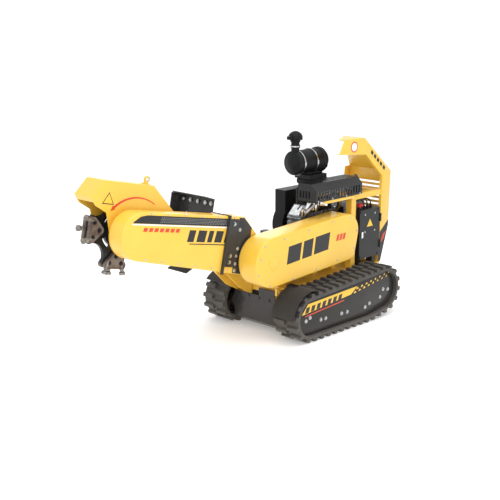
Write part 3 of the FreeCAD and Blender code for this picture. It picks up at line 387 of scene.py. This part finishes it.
def turned(profile, centre, axis, steps=40):
    """A turned piece: a profile line (along the axis, radius) in millimetres, spun round."""
    begin()
    bpy.ops.mesh.primitive_circle_add(vertices=len(profile), fill_type="NOTHING", radius=1.0)
    obj = bpy.context.object
    base = at(*centre)
    for vert, (along, radius) in zip(obj.data.vertices, profile):
        along = along / 1000.0
        radius = radius / 1000.0
        if axis == "X":
            vert.co = base + Vector((along, radius, 0))
        elif axis == "Y":
            vert.co = base + Vector((radius, along, 0))
        else:
            vert.co = base + Vector((radius, 0, along))
    turn_axis = {"X": (1, 0, 0), "Y": (0, 1, 0), "Z": (0, 0, 1)}[axis]
    bpy.ops.object.mode_set(mode="EDIT")
    bpy.ops.mesh.select_all(action="SELECT")
    bpy.ops.mesh.spin(steps=steps, angle=2 * math.pi, center=base, axis=turn_axis)
    bpy.ops.mesh.select_all(action="SELECT")
    bpy.ops.mesh.remove_doubles(threshold=0.00002)
    bpy.ops.mesh.normals_make_consistent(inside=False)
    bpy.ops.object.mode_set(mode="OBJECT")
    bpy.ops.object.shade_smooth_by_angle(angle=math.radians(35.0))
    return obj


def block(lo, hi, edge=1.5, segments=2):
    """A box primitive at its size and place, in drawing millimetres, with rounded edges."""
    begin()
    a = at(*lo)
    b = at(*hi)
    bpy.ops.mesh.primitive_cube_add(size=1.0, location=(a + b) / 2, scale=(b - a))
    obj = settle(bpy.context.object)
    return soften(obj, edge / 1000.0, segments)


def hex_bolts(places, axis, across, height, washer=1.6):
    """Hexagon heads with a chamfer and a washer; modelled once and copied to every place."""
    begin()
    r = across / 2000.0
    h = height / 1000.0
    bpy.ops.mesh.primitive_cylinder_add(vertices=20, radius=r * washer, depth=h * 0.22,
                                        location=(0, 0, h * 0.11))
    pad = settle(bpy.context.object)
    begin()
    bpy.ops.mesh.primitive_cylinder_add(vertices=6, radius=r * 1.15, depth=h * 0.8,
                                        location=(0, 0, h * 0.6))
    head = settle(bpy.context.object)
    pick_faces(head, lambda c, n: n.z > 0.9)
    bpy.ops.mesh.inset(thickness=r * 0.18, depth=h * 0.1)
    bpy.ops.object.mode_set(mode="OBJECT")
    model = join([head, pad])
    turn = {"+X": Matrix.Rotation(math.pi / 2, 4, "Y"), "-X": Matrix.Rotation(-math.pi / 2, 4, "Y"),
            "+Y": Matrix.Rotation(-math.pi / 2, 4, "X"), "-Y": Matrix.Rotation(math.pi / 2, 4, "X"),
            "+Z": Matrix.Identity(4)}[axis]
    copies = []
    for k, place in enumerate(places):
        copy = model.copy()
        copy.data = model.data.copy()
        bpy.context.collection.objects.link(copy)
        spin = Matrix.Rotation(0.7 * k, 4, "Z")
        copy.data.transform(Matrix.Translation(at(*place)) @ turn @ spin)
        copies.append(copy)
    bpy.data.objects.remove(model)
    return join(copies) if len(copies) > 1 else copies[0]


def pipe(points, radius, order=4):
    """A bent pipe or hose through control points in drawing millimetres."""
    begin()
    curve = bpy.data.curves.new("run", "CURVE")
    curve.dimensions = "3D"
    spline = curve.splines.new("NURBS")
    spline.points.add(len(points) - 1)
    for point, place in zip(spline.points, points):
        point.co = (*at(*place), 1.0)
    spline.order_u = min(order, len(points))
    spline.use_endpoint_u = True
    spline.resolution_u = 10
    curve.bevel_depth = radius / 1000.0
    curve.bevel_resolution = 4
    curve.use_fill_caps = True
    obj = bpy.data.objects.new("run", curve)
    bpy.context.collection.objects.link(obj)
    bpy.context.view_layer.objects.active = obj
    obj.select_set(True)
    bpy.ops.object.convert(target="MESH")
    obj = bpy.context.object
    bpy.ops.object.shade_smooth_by_angle(angle=math.radians(40.0))
    return obj


def raised(obj):
    """Turns a piece drawn on the level arm up to the arm's rest angle."""
    move = Matrix.Translation(pivot) @ Matrix.Rotation(-arm_rest, 4, "X") @ Matrix.Translation(-pivot)
    obj.data.transform(move)
    return obj


def arm_yz(s, n):
    return (-520.0 - s, 560.0 + n)


def arm_at(x, s, n):
    return (x, -520.0 - s, 560.0 + n)


def shell_guard(circles, x_open, x_face, wall, edge, holes):
    """A folded cover, open on its inner side: outline, rounded rim, then a wall thickness."""
    obj = outline_plate(round_outline(circles), x_open, x_face)
    pick_faces(obj, lambda c, n: n.x < -0.9)
    bpy.ops.mesh.delete(type="ONLY_FACE")
    bpy.ops.object.mode_set(mode="OBJECT")
    soften(obj, edge / 1000.0, 4, 50.0)
    mod = obj.modifiers.new("wall", "SOLIDIFY")
    mod.thickness = wall / 1000.0
    mod.offset = -1.0
    bpy.ops.object.modifier_apply(modifier=mod.name)
    for y, z, r in holes:
        begin()
        bpy.ops.mesh.primitive_cylinder_add(vertices=40, radius=r / 1000.0, depth=0.03,
                                            location=at(x_face, y, z), rotation=(0, math.pi / 2, 0))
        tool = settle(bpy.context.object)
        begin()
        bpy.context.view_layer.objects.active = obj
        obj.select_set(True)
        cut = obj.modifiers.new("hole", "BOOLEAN")
        cut.operation = "DIFFERENCE"
        cut.object = tool
        bpy.ops.object.modifier_apply(modifier=cut.name)
        bpy.data.objects.remove(tool)
    bpy.ops.object.shade_smooth_by_angle(angle=math.radians(35.0))
    return obj


def film(points, x, thick=0.6):
    return outline_plate(points, x, x + thick)


def discs(places, axis_x, r, thick=0.6, steps=10):
    """Small flat round marks on a face across X."""
    begin()
    bpy.ops.mesh.primitive_cylinder_add(vertices=steps, radius=r / 1000.0, depth=thick / 1000.0,
                                        rotation=(0, math.pi / 2, 0))
    model = settle(bpy.context.object)
    copies = []
    for y, z in places:
        copy = model.copy()
        copy.data = model.data.copy()
        bpy.context.collection.objects.link(copy)
        copy.data.transform(Matrix.Translation(at(axis_x, y, z)))
        copies.append(copy)
    bpy.data.objects.remove(model)
    return join(copies)


def arc_arrow(x, centre, radius, a0, a1, width, head):
    """A curved arrow: points along an arc and a broad head at its end."""
    cy, cz = centre
    outer = []
    inner = []
    for k in range(13):
        a = math.radians(a0 + (a1 - a0) * k / 12.0)
        w = width * (0.35 + 0.65 * k / 12.0)
        outer.append((cy + (radius + w / 2) * math.cos(a), cz + (radius + w / 2) * math.sin(a)))
        inner.append((cy + (radius - w / 2) * math.cos(a), cz + (radius - w / 2) * math.sin(a)))
    end = math.radians(a1)
    tip = math.radians(a1 + math.degrees(head / radius) * (1 if a1 > a0 else -1))
    crown = [(cy + (radius + width) * math.cos(end), cz + (radius + width) * math.sin(end)),
             (cy + radius * math.cos(tip), cz + radius * math.sin(tip)),
             (cy + (radius - width) * math.cos(end), cz + (radius - width) * math.sin(end))]
    return film(outer + crown + inner[::-1], x)


# ---- arm: belt cover, root panel, stripes ----------------------------------
arm_circles = [(*arm_yz(980, 95), 145.0), (*arm_yz(0, 0), 118.0), (*arm_yz(150, 245), 20.0)]
cover = raised(shell_guard(arm_circles, 9.0, 130.0, 4.0, 9.0, [(*arm_yz(0, 0), 62.0)]))
name_it(cover, "arm_belt_cover", yellow, "arm")
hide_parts("arm_guard")

seam = outline_plate(round_outline(arm_circles, 2.0), 9.2, 13.0)
begin()
bpy.context.view_layer.objects.active = seam
seam.select_set(True)
seam_inner = outline_plate(round_outline(arm_circles, -3.0), 5.0, 18.0)
begin()
bpy.context.view_layer.objects.active = seam
seam.select_set(True)
seam_cut = seam.modifiers.new("opening", "BOOLEAN")
seam_cut.object = seam_inner
bpy.ops.object.modifier_apply(modifier=seam_cut.name)
bpy.data.objects.remove(seam_inner)
# the seam band round the cover's open side takes the darker yellow copy: painted shade along the joint
name_it(raised(seam), "arm_cover_seam", yellow_painted_shade, "arm")


def top_n(s):
    """Upper edge of the arm cover's near face at a distance s from the pivot."""
    return 265.0 - (s - 150.0) * 25.0 / 830.0


band_points = [arm_yz(196, top_n(196) - 16), arm_yz(960, top_n(960) - 16),
               arm_yz(1010, top_n(1010) - 26), arm_yz(1056, top_n(1056) - 58),
               arm_yz(1060, top_n(1060) - 66), arm_yz(196, top_n(196) - 66)]
name_it(raised(film(band_points, 130.0)), "arm_black_stripe", black_vinyl, "arm")
dots = []
for row in range(4):
    for k in range(46):
        s = 214.0 + 14.0 * k + (7.0 if row % 2 else 0.0)
        dots.append(arm_yz(s, top_n(s) - 27.0 - 9.0 * row))
name_it(raised(discs(dots, 130.7, 2.6, 0.4, 8)), "arm_stripe_dots", silver_vinyl, "arm")
line = film([arm_yz(196, top_n(196) - 68), arm_yz(1062, top_n(1062) - 68),
             arm_yz(1066, top_n(1066) - 76), arm_yz(196, top_n(196) - 76)], 130.0)
name_it(raised(line), "arm_white_line", white_vinyl, "arm")
bars = []
for k, (s, wide) in enumerate(((250, 46), (318, 62), (402, 40), (462, 70), (556, 54))):
    lift = top_n(s) - 96.0
    bars.append(film([arm_yz(s, lift), arm_yz(s + wide, lift - 1.0), arm_yz(s + wide + 12, lift - 74.0),
                      arm_yz(s + 12, lift - 73.0)], 130.0))
bars.append(film([arm_yz(250, 82), arm_yz(600, 74), arm_yz(600, 68), arm_yz(250, 76)], 130.0))
name_it(raised(join(bars)), "arm_plain_bars", black_vinyl, "arm")
dashes = []
for k in range(7):
    s = 690.0 + 42.0 * k
    lift = top_n(s) - 90.0
    dashes.append(film([arm_yz(s, lift), arm_yz(s + 30, lift - 1), arm_yz(s + 36, lift - 24),
                        arm_yz(s + 6, lift - 23)], 130.0))
name_it(raised(join(dashes)), "arm_red_dashes", red_vinyl, "arm")

root_panel = outline_plate([arm_yz(72, -108), arm_yz(194, -101), arm_yz(194, 258), arm_yz(152, 259),
                            arm_yz(72, 200)], 130.2, 133.2, 1.0)
name_it(raised(root_panel), "arm_root_panel", graphite, "arm")
root_bolts = hex_bolts([arm_at(133.2, s, n) for s, n in ((96, 62), (128, 60), (176, 58), (180, 10),
                                                         (180, -40), (180, -84), (180, 180))],
                       "+X", 15.0, 6.0)
name_it(raised(root_bolts), "arm_root_bolts", zinc, "arm")
cover_screws = []
for s in (240, 380, 520, 660, 800, 930):
    cover_screws.append(arm_at(130.0, s, top_n(s) - 8.0))
    cover_screws.append(arm_at(130.0, s, -98.0 + s * 0.065))
name_it(raised(hex_bolts(cover_screws, "+X", 8.0, 3.5)), "arm_cover_screws", zinc, "arm")
top_screws = [arm_at(x, s, top_n(s)) for s in (300, 560, 820) for x in (24.0, 104.0)]
top_screws = hex_bolts(top_screws, "+Z", 9.0, 4.0)
name_it(raised(top_screws), "arm_top_screws", zinc, "arm")

# wheel guard: arrow, blank triangle and its black edge, bolts
arrow = arc_arrow(-34.8, arm_yz(900, 40), 270.0, 62.0, 132.0, 15.0, 34.0)
name_it(raised(arrow), "turning_arrow", red_vinyl, "arm")


def triangle(cy, cz, size, x, flip=1.0):
    pts = [(cy - size, cz - size * 0.62), (cy + size, cz - size * 0.62), (cy, cz + size)]
    return film(pts, x, 0.5)


signs = [triangle(*arm_yz(1128, 282), 44.0, -34.9)]
name_it(raised(join(signs)), "guard_triangle_edge", black_vinyl, "arm")
guard_sign = raised(triangle(*arm_yz(1128, 282), 35.0, -34.4))
name_it(guard_sign, "guard_triangle", yellow_vinyl, "arm")
shield_bolts = hex_bolts([arm_at(138.0, 240, n) for n in (-30, 10, 215)], "+X", 17.0, 8.0)
front_heads = [arm_at(x, 304.0, 318) for x in (-300, -230, -160, -90, -36)]
front_heads += [arm_at(x, 304.0, -20) for x in (-200, -140, -80)]
shield_front = hex_bolts(front_heads, "-Y", 17.0, 7.0)
back_heads = [arm_at(x, 290.0, n) for x in (-300, -230, -160, -90) for n in (40, 180, 318)]
shield_back = hex_bolts(back_heads, "+Y", 15.0, 7.0)
name_it(raised(join([shield_bolts, shield_front, shield_back])), "shield_bolts", zinc, "arm")

begin()
bpy.ops.mesh.primitive_torus_add(major_radius=0.0155, minor_radius=0.0060, major_segments=36,
                                 minor_segments=12, location=at(-118, -1308, 982),
                                 rotation=(0, math.pi / 2, 0))
name_it(raised(settle(bpy.context.object)), "lifting_ring", zinc, "arm")

# ---- cutter: forged holders, toothed heads, hub ------------------------------
wheel_s = 980.0
wheel_n = 95.0
wy, wz = arm_yz(wheel_s, wheel_n)


def polar(r, degrees):
    a = math.radians(degrees)
    return (wy + r * math.cos(a), wz + r * math.sin(a))


holder_pieces = []
tooth_pieces = []
bolt_places = {"+X": [], "-X": []}
for k in range(4):
    mid = 90.0 * k
    for face in (-1, 1):
        x_in = -98.0 if face > 0 else -122.0
        x_out = x_in + face * 26.0
        plan = [(*polar(208.0, mid - 15.0), 24.0), (*polar(208.0, mid + 15.0), 24.0),
                (*polar(146.0, mid), 26.0)]
        holder = outline_plate(round_outline(plan, 0.0, 20.0), min(x_in, x_out), max(x_in, x_out))
        outward = 1.0 if face > 0 else -1.0
        pick_faces(holder, lambda c, n: n.x * outward > 0.9)
        bpy.ops.mesh.inset(thickness=0.010, depth=0.0)
        bpy.ops.transform.translate(value=(-outward * 0.007, 0, 0))
        bpy.ops.object.mode_set(mode="OBJECT")
        soften(holder, 0.003, 2, 25.0)
        holder_pieces.append(holder)
        for r, d in ((150.0, 0.0), (196.0, -13.0), (196.0, 13.0)):
            y, z = polar(r, mid + d)
            bolt_places["+X" if face > 0 else "-X"].append((x_out - face * 7.0, y, z))
        for d in (-15.0, 0.0, 15.0):
            if (d == 0.0) == (face > 0):
                continue
            x_mid = 0.5 * (x_in + x_out)
            tooth = turned([(188, 0), (188, 10), (226, 10), (230, 15), (236, 15), (240, 10.5),
                            (246, 10.5), (252, 18.6), (266, 19.0), (268, 17.5), (265, 12), (264, 0)],
                           (x_mid, wy, wz), "Z", 16)
            base = at(x_mid, wy, wz)
            tooth.data.transform(Matrix.Translation(base)
                                 @ Matrix.Rotation(math.radians(mid + d - 90.0), 4, "X")
                                 @ Matrix.Translation(-base))
            tooth_pieces.append(tooth)
holders = name_it(raised(join(holder_pieces)), "tooth_holder_castings", forged, "cutter")
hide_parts("tooth_holders")
teeth = name_it(raised(join(tooth_pieces)), "round_headed_teeth", carbide, "cutter")
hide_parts("cutter_teeth")
holder_bolts = join([hex_bolts(bolt_places["+X"], "+X", 17.0, 8.0),
                     hex_bolts(bolt_places["-X"], "-X", 17.0, 8.0)])
name_it(raised(holder_bolts), "holder_bolts", dark_casting, "cutter")
hub = turned([(-122, 0), (-122, 44), (-134, 44), (-138, 38), (-146, 38), (-150, 30), (-150, 0)],
             (0, wy, wz), "X", 32)
name_it(raised(hub), "cutter_hub_cap", steel, "cutter")

# ---- belt guard on the chassis ---------------------------------------------
guard_circles = [(-520.0, 560.0, 165.0), (250.0, 510.0, 70.0), (220.0, 640.0, 130.0)]
belt_cover = shell_guard(guard_circles, 155.0, 305.0, 4.0, 10.0, [])
name_it(belt_cover, "engine_belt_cover", yellow, "chassis")
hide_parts("belt_guard")
boss = turned([(305, 0), (311, 0), (311, 38), (309, 44), (305, 46)], (0, -520, 560), "X", 32)
guard_marks = []
for y, z in ((-640, 600), (-600, 680), (-420, 700), (-180, 722), (60, 742), (260, 742), (330, 640),
             (300, 520), (120, 462), (-100, 440), (-340, 418), (-560, 412), (-660, 500)):
    guard_marks.append((305.0, y, z))
name_it(hex_bolts(guard_marks, "+X", 9.0, 4.0), "belt_cover_screws", zinc, "chassis")
plain_bars = []
for y, wide in ((-400, 128), (-250, 96), (-132, 150)):
    z = 526.0 + (y + 400.0) * 0.075
    plain_bars.append(film([(y, z), (y + wide, z + wide * 0.075), (y + wide + 20, z + 118 + wide * 0.075),
                            (y + 20, z + 118)], 305.0))
name_it(join(plain_bars), "belt_cover_plain_bars", black_vinyl, "chassis")
red_marks = [film([(100 + 34 * k, 600), (126 + 34 * k, 602), (140 + 34 * k, 646), (114 + 34 * k, 644)],
                  305.0) for k in range(3)]
name_it(join(red_marks), "belt_cover_red_marks", red_vinyl, "chassis")
name_it(boss, "belt_cover_boss", yellow, "chassis")

# ---- track side panels -------------------------------------------------------
cover_circles = [(-290.0, 165.0, 108.5), (335.0, 97.5, 47.0), (505.0, 200.0, 118.5)]
for side, sign in (("left", 1.0), ("right", -1.0)):
    lo = 408.0 if sign > 0 else -416.0
    hi = lo + 8.0
    face = 416.0 if sign > 0 else -416.6
    panel = outline_plate(round_outline(cover_circles, 6.0), lo, hi, 2.0)
    name_it(panel, "track_side_panel_" + side, anthracite, "chassis")
    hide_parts("track_cover_" + side)
    flash = [film([(-372, 196), (140, 236), (210, 282), (-310, 262)], face)]
    for k in range(16):
        y = 170.0 + 26.0 * k
        z = 244.0 + 3.4 * k + (11.0 if k % 2 else -9.0)
        w = 30.0 - 1.2 * k
        flash.append(film([(y, z), (y + w, z + 5), (y + w * 0.6, z + 17), (y + 4, z + 11)], face))
    name_it(join(flash), "track_flash_" + side, yellow_vinyl, "chassis")
    under = film([(-340, 178), (60, 206), (66, 214), (-334, 186)], face)
    name_it(under, "track_flash_line_" + side, red_vinyl, "chassis")
    words = []
    for k in range(7):
        y = -340.0 + 56.0 * k
        words.append(film([(y, 202 + 3.2 * k), (y + 36, 204 + 3.2 * k), (y + 50, 242 + 3.2 * k),
                           (y + 14, 240 + 3.2 * k)], face + (0.6 if sign > 0 else -0.4), 0.4))
    name_it(join(words), "track_flash_bars_" + side, black_vinyl, "chassis")
    spots = [(hi if sign > 0 else lo, y, z) for y, z in
             ((-330, 150), (-180, 128), (-130, 126), (40, 122), (100, 120), (300, 110), (350, 128),
              (470, 150), (560, 190), (-290, 165), (505, 200))]
    name_it(hex_bolts(spots, "+X" if sign > 0 else "-X", 17.0, 7.0), "track_panel_bolts_" + side,
            zinc, "chassis")

# ---- air cleaner, pre-cleaner and intake -------------------------------------
canister = turned([(-30, 0), (-30, 34), (-26, 40), (-18, 66), (-14, 78), (-6, 84), (18, 84), (20, 86),
                   (34, 86), (36, 83), (60, 83), (62, 81.5), (64, 83), (90, 83), (92, 81.5),
                   (94, 83), (120, 83), (122, 81.5), (124, 83), (150, 83), (152, 87), (164, 87),
                   (166, 83), (230, 83), (236, 89), (246, 90), (262, 90), (264, 82), (272, 78),
                   (284, 74), (290, 60), (290, 40), (286, 36), (286, 0)], (0, 0, 1118), "Y", 56)
canister_foot = block((-40, 100, 1026), (40, 260, 1048), 3.0)
neck = turned([(60, 0), (60, 28), (100, 28), (108, 34), (122, 34), (126, 29), (144, 29), (144, 0)],
              (0, 14, 1118), "Z", 32)
cleaner = name_it(join([canister, canister_foot, neck]), "air_cleaner_canister", engine_plastic,
                  "chassis")
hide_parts("air_cleaner")
bands = []
for y in (26.0, 157.0):
    bands.append(turned([(-5, 85), (-5, 87.6), (5, 87.6), (5, 85), (-5, 85)], (0, y, 1118), "Y", 56))
bands.append(turned([(0, 28.5), (0, 34.8), (9, 34.8), (9, 28.5), (0, 28.5)], (0, 14, 1229), "Z", 32))
bands.append(block((84, 18, 1104), (90, 34, 1132), 1.5))
bands.append(block((84, 149, 1104), (90, 165, 1132), 1.5))
name_it(join(bands), "canister_clamps", zinc, "chassis")
latches = []
for k in range(3):
    a = math.radians(30.0 + 120.0 * k)
    clip = block((78, 222, 1110), (89, 270, 1126), 2.5)
    centre = at(0, 246, 1118)
    clip.data.transform(Matrix.Translation(centre) @ Matrix.Rotation(a, 4, "Y")
                        @ Matrix.Translation(-centre))
    latches.append(clip)
name_it(join(latches), "canister_latches", dark_casting, "chassis")
mushroom = turned([(0, 0), (0, 32), (6, 36), (16, 36), (20, 48), (28, 50), (42, 49), (56, 42),
                   (67, 29), (74, 14), (76, 0)], (0, 14, 1262), "Z", 40)
snout = block((-16, -58, 1282), (16, -24, 1306), 4.0)
vanes = []
for k in range(14):
    fin = block((44, 12.5, 1277), (50, 15.5, 1300), 0.5, 1)
    centre = at(0, 14, 1290)
    fin.data.transform(Matrix.Translation(centre) @ Matrix.Rotation(2 * math.pi * (k + 0.5) / 14, 4, "Z")
                       @ Matrix.Translation(-centre))
    vanes.append(fin)
pre = name_it(join([mushroom, snout] + vanes), "precleaner_mushroom", engine_plastic, "chassis")
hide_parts("precleaner_cap")

# ---- engine: cowls, covers, pipes, leads ---------------------------------------
cowl = outline_plate([(66, 770), (60, 880), (96, 990), (280, 990), (318, 880), (312, 770)], 62, 88, 8.0, 3)
cowl_top = block((-60, 92, 960), (88, 276, 1000), 12.0, 3)
name_it(join([cowl, cowl_top]), "intake_cowl", engine_plastic, "chassis")
rocker = []
for lean, x in ((1, 18.0), (-1, -18.0)):
    lid = block((x - 46, 150, 848), (x + 46, 230, 868), 8.0, 3)
    centre = at(x, 190, 610)
    lid.data.transform(Matrix.Translation(centre) @ Matrix.Rotation(math.radians(45.0 * lean), 4, "X")
                       @ Matrix.Translation(-centre))
    rocker.append(lid)
name_it(join(rocker), "rocker_covers", chrome, "chassis")
bright = [pipe([(80, 20, 760), (104, 0, 770), (118, 20, 800), (130, 60, 838)], 17.0),
          pipe([(78, 352, 760), (110, 372, 768), (128, 350, 800), (136, 330, 838)], 17.0)]
name_it(join(bright), "exhaust_pipes", steel, "chassis")
leads = [pipe([(60, -24, 806), (92, -34, 830), (96, 40, 900), (92, 120, 940)], 4.5),
         pipe([(60, 402, 806), (80, 420, 850), (70, 380, 930), (80, 270, 950)], 4.5)]
name_it(join(leads), "spark_leads", belt_rubber, "chassis")
starter = turned([(0, 0), (0, 32), (4, 36), (110, 36), (114, 30), (128, 30), (130, 24), (130, 0)],
                 (84, -24, 650), "X", 28)
starter.data.transform(Matrix.Translation(at(-20, 60, -90)) @ Matrix.Translation(-at(0, 0, 0)))
name_it(starter, "starter_motor", zinc, "chassis")
case_bolts = [(120.0, y, z) for y in (84, 296) for z in (486, 570, 676)]
name_it(hex_bolts(case_bolts, "+X", 12.0, 6.0), "crankcase_bolts", zinc, "chassis")

# muffler cage bolts and its yellow carrier below
carrier = outline_plate([(60, 858), (365, 858), (365, 877), (20, 877)], 232, 250, 1.5)
name_it(carrier, "muffler_carrier", yellow, "chassis")
cage_heads = [(252.0, y, 886) for y in (-30, 120, 270, 420)]
name_it(hex_bolts(cage_heads, "+X", 8.0, 4.0), "muffler_cage_bolts", zinc, "chassis")
end_cowl = block((60, -50, 846), (100, 60, 968), 14.0, 3)
end_lid = block((96, -52, 884), (180, -10, 978), 10.0, 3)
name_it(join([end_cowl, end_lid]), "muffler_end_cowl", engine_plastic, "chassis")
plates = []
for k, (y, z, lean) in enumerate(((-30, 800, 20), (40, 826, -14), (112, 812, 16), (184, 836, -10))):
    plate = block((118, y - 34, z - 26), (124, y + 34, z + 26), 2.0)
    centre = at(121, y, z)
    plate.data.transform(Matrix.Translation(centre) @ Matrix.Rotation(math.radians(lean), 4, "Z")
                         @ Matrix.Rotation(math.radians(lean * 0.8), 4, "X") @ Matrix.Translation(-centre))
    plates.append(plate)
name_it(join(plates), "heat_shields", chrome, "chassis")

# ---- rear hood: folded sheet with a return along its edge ------------------------
hood_out = [(265, 1270), (490, 1268), (808, 1000), (795, 600), (712, 336)]
hood_in = [(680, 336), (695, 600), (707, 973), (508, 1148), (210, 1174)]
hood_far_in = [(808, 1000), (795, 600), (712, 336), (680, 336), (695, 600), (745, 1000)]
hood_parts = [outline_plate((hood_out + hood_in)[::-1], 225.0, 230.0, 1.6),
              outline_plate(hood_far_in[::-1], -150.0, -145.0, 1.6)]
lip_in = [(y + 3, z + 4) for y, z in hood_in]
hood_parts.append(outline_plate(hood_in + lip_in[::-1], 207.0, 227.0))
back = outline_plate((hood_out + [(707, 336), (790, 601), (803, 998), (488.5, 1263), (268, 1265)])[::-1],
                     -149.0, 228.0)
carve(back, plan_block([(-151, 200), (176, 200), (176, 265), (-150, 800), (-151, 800)], 1001.0, 1400.0),
      "taper")
slot_tools = []
for k in range(9):
    slot_tools.append(block((-110, 780, 640 + 32 * k), (160, 820, 654 + 32 * k), 2.0))
carve(back, join(slot_tools), "vents")
soften(back, 0.0015, 2)
hood_parts.append(back)
hood_parts.append(block((-140, 690, 836), (-100, 800, 876), 2.0))
hood_parts.append(block((174, 690, 836), (225, 800, 876), 2.0))
hood = name_it(join(hood_parts), "rear_hood_sheet", yellow, "chassis")
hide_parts("rear_hood")
ring = turned([(0, 0), (0.6, 0), (0.6, 38), (0, 38)], (230, 372, 1214), "X", 36)
name_it(ring, "hood_round_plate_rim", red_vinyl, "chassis")
name_it(turned([(0.6, 0), (1.1, 0), (1.1, 29), (0.6, 29)], (230, 372, 1214), "X", 36),
        "hood_round_plate", white_vinyl, "chassis")
hood_bars = []
for k in range(5):
    y = 560.0 + 36.0 * k
    z = 1160.0 - 30.5 * k
    hood_bars.append(film([(y, z - 6), (y + 24, z - 26), (y + 34, z - 4), (y + 10, z + 16)], 230.0))
name_it(join(hood_bars), "hood_plain_bars", black_vinyl, "chassis")
skirt = film([(712, 338), (794, 598), (796, 640), (700, 560), (696, 600), (681, 338)], 230.0)
name_it(skirt, "hood_dark_skirt", black_vinyl, "chassis")
flare = film([(700, 470), (740, 500), (772, 560), (735, 540)], 230.7, 0.4)
name_it(flare, "hood_red_flare", red_vinyl, "chassis")

# ---- control box: sign, bolts, glands, cables, white tabs -------------------------
box_bolts = [(241.5, y, z) for y in (502, 616) for z in (590, 716)]
name_it(hex_bolts(box_bolts, "+X", 9.0, 4.0), "box_door_bolts", zinc, "box_door")
name_it(triangle(560, 646, 34.0, 241.5), "box_sign", yellow_vinyl, "box_door")
glands = []
for y in (545, 585, 625):
    glands.append(turned([(0, 0), (0, 13), (8, 13), (9, 10), (20, 10), (24, 7), (24, 0)],
                         (193, y, 752), "Z", 18))
name_it(join(glands), "cable_glands", engine_plastic, "chassis")
cables = [pipe([(193, y, 772), (193, y, 800), (178, y - 14, 818), (158 - 6 * k, y - 60, 812),
                (152 - 8 * k, 470, 790), (148 - 8 * k, 440, 740)], 5.0)
          for k, y in enumerate((545, 585, 625))]
name_it(join(cables), "box_cables", belt_rubber, "chassis")
white_tabs = [block((224, 372, 640), (227.5, 384, 700), 1.0), block((224, 372, 560), (227.5, 384, 600), 1.0)]
name_it(join(white_tabs), "post_white_tabs", white_vinyl, "chassis")

# rotary actuator hoses, kept close to the actuator
act_hoses = [pipe([(-190, -520, 664), (-190, -516, 700), (-180, -440, 716), (-150, -300, 640),
                   (-130, -240, 560)], 8.0),
             pipe([(-110, -520, 664), (-112, -512, 704), (-100, -430, 724), (-90, -300, 650),
                   (-80, -238, 570)], 8.0)]
name_it(join(act_hoses), "actuator_hoses", belt_rubber, "chassis")
fittings = []
for x in (-190, -110):
    fittings.append(turned([(0, 0), (0, 15), (12, 15), (14, 12), (24, 12), (24, 0)], (x, -520, 652), "Z", 6))
name_it(join(fittings), "hose_fittings", zinc, "chassis")

# ---- floor, light and camera -------------------------------------------------------
begin()
bpy.ops.mesh.primitive_plane_add(size=60.0, location=(0, 0, -0.0005))
floor = bpy.context.object
floor.name = "pale_floor"
floor_finish, floor_tree, floor_shader, floor_place = new_finish("pale_floor_paint", 0.0, 1.45)
floor_colour = two_tone(floor_tree, floor_place, 0.8, 0.2, 0.8, "f3f3f3", "f8f8f8")[0]
floor_tree.links.new(floor_colour, floor_shader.inputs["Base Color"])
floor_shader.inputs["Roughness"].default_value = 0.9
floor_shader.inputs["Emission Color"].default_value = (1.0, 1.0, 1.0, 1.0)
floor_shader.inputs["Emission Strength"].default_value = 0.2
floor.data.materials.append(floor_finish)

world = bpy.data.worlds.new("soft_white")
bpy.context.scene.world = world
world.use_nodes = True
world.node_tree.nodes["Background"].inputs["Color"].default_value = (1.0, 1.0, 1.0, 1.0)
world.node_tree.nodes["Background"].inputs["Strength"].default_value = 1.02


def soft_light(name, place, target, size, power):
    data = bpy.data.lights.new(name, "AREA")
    data.shape = "RECTANGLE"
    data.size = size[0]
    data.size_y = size[1]
    data.energy = power
    obj = bpy.data.objects.new(name, data)
    bpy.context.collection.objects.link(obj)
    obj.location = place
    aim = Vector(target) - Vector(place)
    obj.rotation_euler = aim.to_track_quat("-Z", "Y").to_euler()


soft_light("overhead_box", (1.0, -0.6, 4.6), (0, 0.1, 0.5), (3.4, 3.4), 75.0)
soft_light("front_left_box", (3.6, -3.4, 2.2), (0, 0, 0.6), (2.4, 2.0), 45.0)
soft_light("rear_box", (-3.4, 2.6, 2.6), (0, 0, 0.8), (2.0, 2.0), 28.0)

azimuth = math.radians(44.3)
rise = math.radians(13.7)
back_way = Vector((math.sin(azimuth) * math.cos(rise), -math.cos(azimuth) * math.cos(rise), math.sin(rise)))
look_at = Vector((0.0, -0.430 + shift_y, 0.579))
camera_distance = 6.5
camera_data = bpy.data.cameras.new("view")
camera_data.lens = 70.0
camera_data.sensor_width = 36.0
camera = bpy.data.objects.new("view", camera_data)
bpy.context.collection.objects.link(camera)
camera.location = look_at + camera_distance * back_way
camera.rotation_euler = (-back_way).to_track_quat("-Z", "Y").to_euler()
bpy.context.scene.camera = camera
bpy.context.scene.view_settings.view_transform = "Standard"
